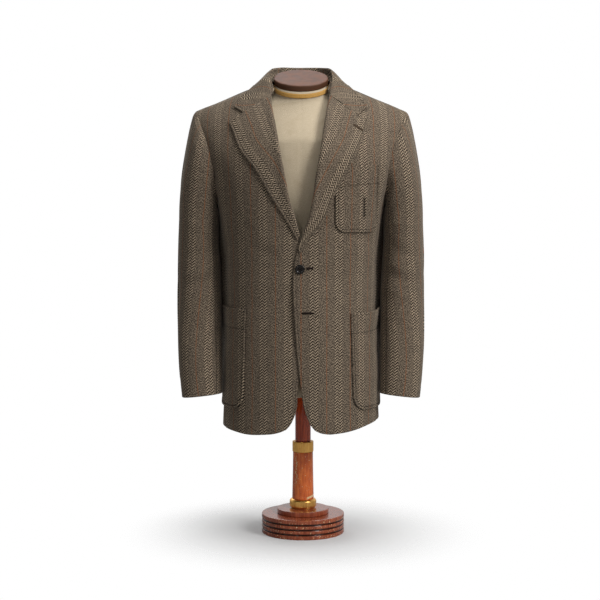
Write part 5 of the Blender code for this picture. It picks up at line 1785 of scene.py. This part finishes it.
def wearGroup():
    # where a finish is knocked off: broad chips kept to a band, and thin scratches
    tree, given, put = newGroup("knocks", {"Place": None, "Band": 0.0, "Amount": 0.5,
                                           "Scratches": 0.3}, ["Mask"])
    chip = plus(tree, noise(tree, given["Place"], 230.0, 4.0, 0.7),
                times(tree, given["Band"], 0.16))
    fine = noise(tree, stretched(tree, given["Place"], (1, 1, 0.30)), 420.0, 3.0, 0.7)
    masks = []
    for found, most, share, amount in ((chip, 0.84, 0.22, "Amount"),
                                       (fine, 0.82, 0.17, "Scratches")):
        level = calc(tree, "SUBTRACT", most, times(tree, given[amount], share))
        masks.append(between(tree, calc(tree, "SUBTRACT", found, level), 0.0, 0.03))
    tree.links.new(calc(tree, "MAXIMUM", *masks), put["Mask"])
    return tree


scars = {"scratchAt": -0.0150, "sway": 0.011, "ends": ((0.110, 0.118), (0.180, 0.165)),
         "chipAt": 0.0080, "chipSlope": 0.30, "chipHeight": 0.0800}


def scarMask(tree, place):
    # one long wandering scratch on the front, and one broad chip low on the wearer's left
    x, y, z = parted(tree, place)
    wander = noise(tree, stretched(tree, place, (0.1, 0.1, 1)), 130.0, 3.0, 0.6)
    sway = calc(tree, "MULTIPLY_ADD", wander, scars["sway"], -scars["sway"] / 2)
    apart = calc(tree, "ABSOLUTE", plus(tree, plus(tree, x, -scars["scratchAt"]), sway))
    low, high = (between(tree, z, *end) for end in scars["ends"])
    mark = times(tree, between(tree, apart, 0.0012, 0.0005), times(tree, low, high))
    mark = times(tree, mark, between(tree, noise(tree, place, 300.0, 2.0), 0.38, 0.48))
    beside = calc(tree, "SUBTRACT", x, scars["chipAt"])
    rise = calc(tree, "MULTIPLY_ADD", beside, scars["chipSlope"], scars["chipHeight"])
    depth = calc(tree, "MULTIPLY_ADD", noise(tree, place, 260.0, 3.0), 0.0040, 0.0002)
    part = calc(tree, "DIVIDE", apartFrom(tree, z, rise), depth)
    chip = times(tree, between(tree, part, 1.2, 0.8), between(tree, beside, -0.001, 0.003))
    return times(tree, calc(tree, "MAXIMUM", mark, chip), between(tree, y, 0.0, -0.005))


def woodMaterial(name, knocks, amount, scratches, base, roughness=0.22, edges=(), grooves=(),
                 scarred=False):
    # varnished and turned: upright grain, a gloss coat, bare wood where knocked, painted shade in
    # grooves
    made, tree, shader = newMaterial(name, Coat_Weight=0.3, Coat_Roughness=0.12,
                                     Specular_IOR_Level=0.35)
    place = objectPlace(tree)
    grain = noise(tree, stretched(tree, place, (1, 1, 0.10)), 260.0, 5.0, 0.6)
    cloud = noise(tree, place, 40.0, 3.0)
    dark, light = base
    colour = blended(tree, between(tree, grain, 0.30, 0.72), dark, light)
    colour = blended(tree, between(tree, cloud, 0.40, 0.70, 0.0, 0.45), colour, dark)
    height = parted(tree, place)[2]
    out = arrow(tree, "LENGTH", {0: stretched(tree, place, (1, 1, 0))})["Value"]
    band, groove = 0.0, 0.0
    for edge, width, radius in edges:
        near = times(tree, between(tree, apartFrom(tree, height, edge), width, width * 0.4),
                     between(tree, out, radius - 0.004, radius - 0.001))
        band = calc(tree, "MAXIMUM", band, near)
    # painted shade: near black in the grooves between the ribs
    for level in grooves:
        near = between(tree, apartFrom(tree, height, level), 0.0030, 0.0012, 0.0, 0.85)
        groove = calc(tree, "MAXIMUM", groove, near)
    mask = placed(tree, knocks, {"Place": place, "Band": band, "Amount": amount,
                                 "Scratches": scratches})[0]
    if scarred:
        mask = calc(tree, "MAXIMUM", mask, scarMask(tree, place))
    bare = blended(tree, noise(tree, place, 500.0), (0.62, 0.38, 0.16, 1), (0.92, 0.76, 0.46, 1))
    colour = blended(tree, mask, colour, bare)
    # the painted shade goes on over the grooves
    colour = blended(tree, groove, colour, (0.012, 0.006, 0.004, 1))
    feed(tree, shader, Base_Color=colour,
         Roughness=between(tree, mask, 0.0, 1.0, roughness, 0.75),
         Coat_Weight=between(tree, mask, 0.0, 1.0, 0.3, 0.0),
         Normal=bumped(tree, times(tree, mask, -1.0), 0.0004, 0.5))
    return made


def brassMaterial(knocks):
    made, tree, shader = newMaterial("aged_brass", Metallic=1.0)
    place = objectPlace(tree)
    streak = noise(tree, stretched(tree, place, (1, 1, 0.06)), 700.0, 3.0, 0.6)
    stain = noise(tree, place, 90.0, 4.0, 0.6)
    colour = blended(tree, between(tree, streak, 0.35, 0.70), (0.80, 0.40, 0.10, 1),
                     (1.0, 0.62, 0.18, 1))
    colour = blended(tree, between(tree, stain, 0.60, 0.78, 0.0, 0.45), colour,
                     (0.220, 0.115, 0.045, 1))
    rubbed = placed(tree, knocks, {"Place": place, "Band": 0.0, "Amount": 0.25,
                                   "Scratches": 0.5})[0]
    colour = blended(tree, times(tree, rubbed, 0.6), colour, (0.80, 0.62, 0.32, 1))
    feed(tree, shader, Base_Color=colour, Roughness=between(tree, stain, 0.35, 0.75, 0.28, 0.42))
    return made


def capMaterial():
    # stained and waxed, with a faint turned swirl; painted shade darkens the rim where it turns
    # from up
    made, tree, shader = newMaterial("stained_cap", Roughness=0.45, Specular_IOR_Level=0.25)
    place = objectPlace(tree)
    cloud = noise(tree, stretched(tree, place, (1, 1.6, 1)), 45.0, 5.0, 0.6)
    swirl = noise(tree, stretched(tree, place, (0.5, 3, 3)), 85.0, 3.0)
    colour = blended(tree, between(tree, cloud, 0.32, 0.70), (0.084, 0.036, 0.023, 1),
                     (0.172, 0.082, 0.054, 1))
    colour = blended(tree, between(tree, swirl, 0.50, 0.72, 0.0, 0.35), colour,
                     (0.190, 0.110, 0.078, 1))
    # painted shade: darker as the surface turns away from facing up
    upward = parted(tree, wired(tree, "ShaderNodeNewGeometry").outputs["Normal"])[2]
    colour = blended(tree, between(tree, upward, 0.75, 0.35), colour, (0.085, 0.036, 0.018, 1))
    feed(tree, shader, Base_Color=colour, Roughness=between(tree, cloud, 0.3, 0.8, 0.42, 0.58),
         Normal=bumped(tree, cloud, 0.0004, 0.25))
    return made


def dress(made, *pieces):
    for piece in pieces:
        piece.data.materials.clear()
        piece.data.materials.append(made)


# making it all
lapels = {}
for side in (1, -1):
    front, back, under = buildFront(side), buildBack(side), buildSide(side)
    buildSleeve(side, front, under, back)
    lapels[sideName(side)] = buildLapel(side)
buildCollar(lapels)
for side in (1, -1):
    buildLowerPocket(side)
buildChestPocket()
buttonFace, buttonThreads = buildButton()
holes = buildButtonholes(lapels["left"])
formCover, braid, capDisc, turnings = buildForm(), buildBraid(), buildCap(), buildStand()

twill, thread, knocks = twillGroup(), threadGroup(), wearGroup()
dress(tweedMaterial(twill), *(piece for piece in bpy.context.scene.objects
                              if piece.name.endswith("_cloth")))
dress(hornMaterial(), buttonFace, nodes["button_lower"])
threads = {"button_thread": ((0.010, 0.008, 0.007, 1), (0.040, 0.032, 0.026, 1), buttonThreads),
           "hole_thread": ((0.006, 0.004, 0.003, 1), (0.026, 0.016, 0.011, 1), holes[:2]),
           "lapel_thread": ((0.030, 0.020, 0.013, 1), (0.110, 0.075, 0.048, 1), holes[2:])}
for name, (dark, light, sewn) in threads.items():
    dress(threadMaterial(name, dark, light), *sewn)
dress(linenMaterial(thread), formCover)
dress(braidMaterial(), braid)
dress(capMaterial(), capDisc)
dress(brassMaterial(knocks), turnings["ring_lower"], turnings["ring_upper"])
deepRed = ((0.340, 0.038, 0.007, 1), (0.680, 0.100, 0.020, 1))
orangeRed = ((0.520, 0.088, 0.016, 1), (0.900, 0.225, 0.042, 1))
pinkBrown = ((0.220, 0.044, 0.018, 1), (0.490, 0.130, 0.055, 1))
(rim, top), ribs, step = stand["plinth"], stand["ribs"], stand["step"]
rim -= 0.001
ribLines = [top - top / ribs * rib for rib in range(1, ribs)]
ribEdges = [(level + way, 0.0034, rim) for level in ribLines for way in (-0.0042, 0.0042)]
# the rib lines: worn edges beside them, and painted shade in the grooves at them
dress(woodMaterial("base_wood", knocks, 0.34, 0.40, pinkBrown, 0.20,
                   ribEdges + [(0.0015, 0.006, rim), (top, 0.0030, rim)], ribLines),
      turnings["base_plinth"])
dress(woodMaterial("step_wood", knocks, 0.20, 0.20, pinkBrown, 0.18,
                   [(step[2], 0.0020, step[0] - 0.001)]), turnings["base_step"])
dress(woodMaterial("lower_post_wood", knocks, 0.92, 0.80, orangeRed, 0.24, scarred=True),
      turnings["post_lower"])
dress(woodMaterial("upper_post_wood", knocks, 0.30, 0.20, deepRed, 0.18), turnings["post_upper"])
print("materials")

# the room: a plain pale floor, soft lights and the view
room = {"lens": 96.0, "from": (-0.00675, -3.6, 0.83366), "down": 135 / 1600, "floor": 14.0,
        "floorSeen": (0.65, 0.65, 0.65, 1), "floorOthers": (0.38, 0.38, 0.38, 1),
        "clear": (0.15, 1.0), "clearReach": (0.09, 0.42), "world": 0.115,
        "shine": (-0.1, 0.7, 0.0, 0.62)}
# each light's place, the height it is turned to on the part's axis, its size and its power
lights = {"key": ((2.5, -2.3, 2.5), 0.70, 1.5, 98), "fill": ((-2.6, -2.6, 1.0), 0.4, 2.4, 5.5),
          "overhead": ((0.5, -0.3, 3.0), 0.5, 2.6, 48),
          "behind": ((-0.8, 2.8, 2.4), 0.7, 2.0, 28), "glint": ((-0.9, -3.3, 1.3), 0.2, 0.5, 6)}
scene = bpy.context.scene


def softLight(name, place, aim, size, power):
    light = bpy.data.lights.new(name, "AREA")
    light.shape, light.size, light.energy = "DISK", size, power
    made = bpy.data.objects.new(name, light)
    way = Vector((0, 0, aim)) - Vector(place)
    made.rotation_euler = way.to_track_quat("-Z", "Y").to_euler()
    made.location = place
    scene.collection.objects.link(made)


camera = bpy.data.objects.new("camera", bpy.data.cameras.new("camera"))
camera.data.lens = room["lens"]
camera.location = room["from"]
camera.rotation_euler = (math.pi / 2 - math.atan(room["down"]), 0, 0)
scene.collection.objects.link(camera)
scene.camera = camera
corners = room["floor"] * np.array([(-1, -1, 0), (1, -1, 0), (1, 1, 0), (-1, 1, 0)])
floor = buildMesh("floor", corners, np.array([[0, 1, 2, 3]]))
# the floor fades into the white room away from the stand, and keeps the soft shadow near it
made, tree, shader = newMaterial("pale_floor", Roughness=0.85)
seen = wired(tree, "ShaderNodeLightPath").outputs["Is Camera Ray"]
far = arrow(tree, "LENGTH", {0: objectPlace(tree)})["Value"]
clear = between(tree, far, *room["clearReach"], *room["clear"])
feed(tree, shader, Base_Color=blended(tree, seen, room["floorOthers"], room["floorSeen"]),
     Alpha=calc(tree, "SUBTRACT", 1.0, times(tree, seen, clear)))
dress(made, floor)
for name, settings in lights.items():
    softLight(name, *settings)
world = bpy.data.worlds.new("room")
scene.world = world
world.use_nodes = True
# seen itself it is white; glossy surfaces see it white behind and dim in front
sky = world.node_tree
rays = wired(sky, "ShaderNodeLightPath").outputs
behind = parted(sky, wired(sky, "ShaderNodeTexCoord").outputs["Generated"])[1]
shine = times(sky, rays["Is Glossy Ray"], between(sky, behind, *room["shine"]))
base = plus(sky, shine, room["world"])
sky.nodes["Background"].inputs["Color"].default_value = (1, 1, 1, 1)
sky.links.new(calc(sky, "MAXIMUM", rays["Is Camera Ray"], base),
              sky.nodes["Background"].inputs["Strength"])
scene.view_settings.view_transform = "Standard"
# the weave is finer than the noise filter expects, so its guides are left unsmoothed
scene.cycles.denoising_prefilter = "NONE"
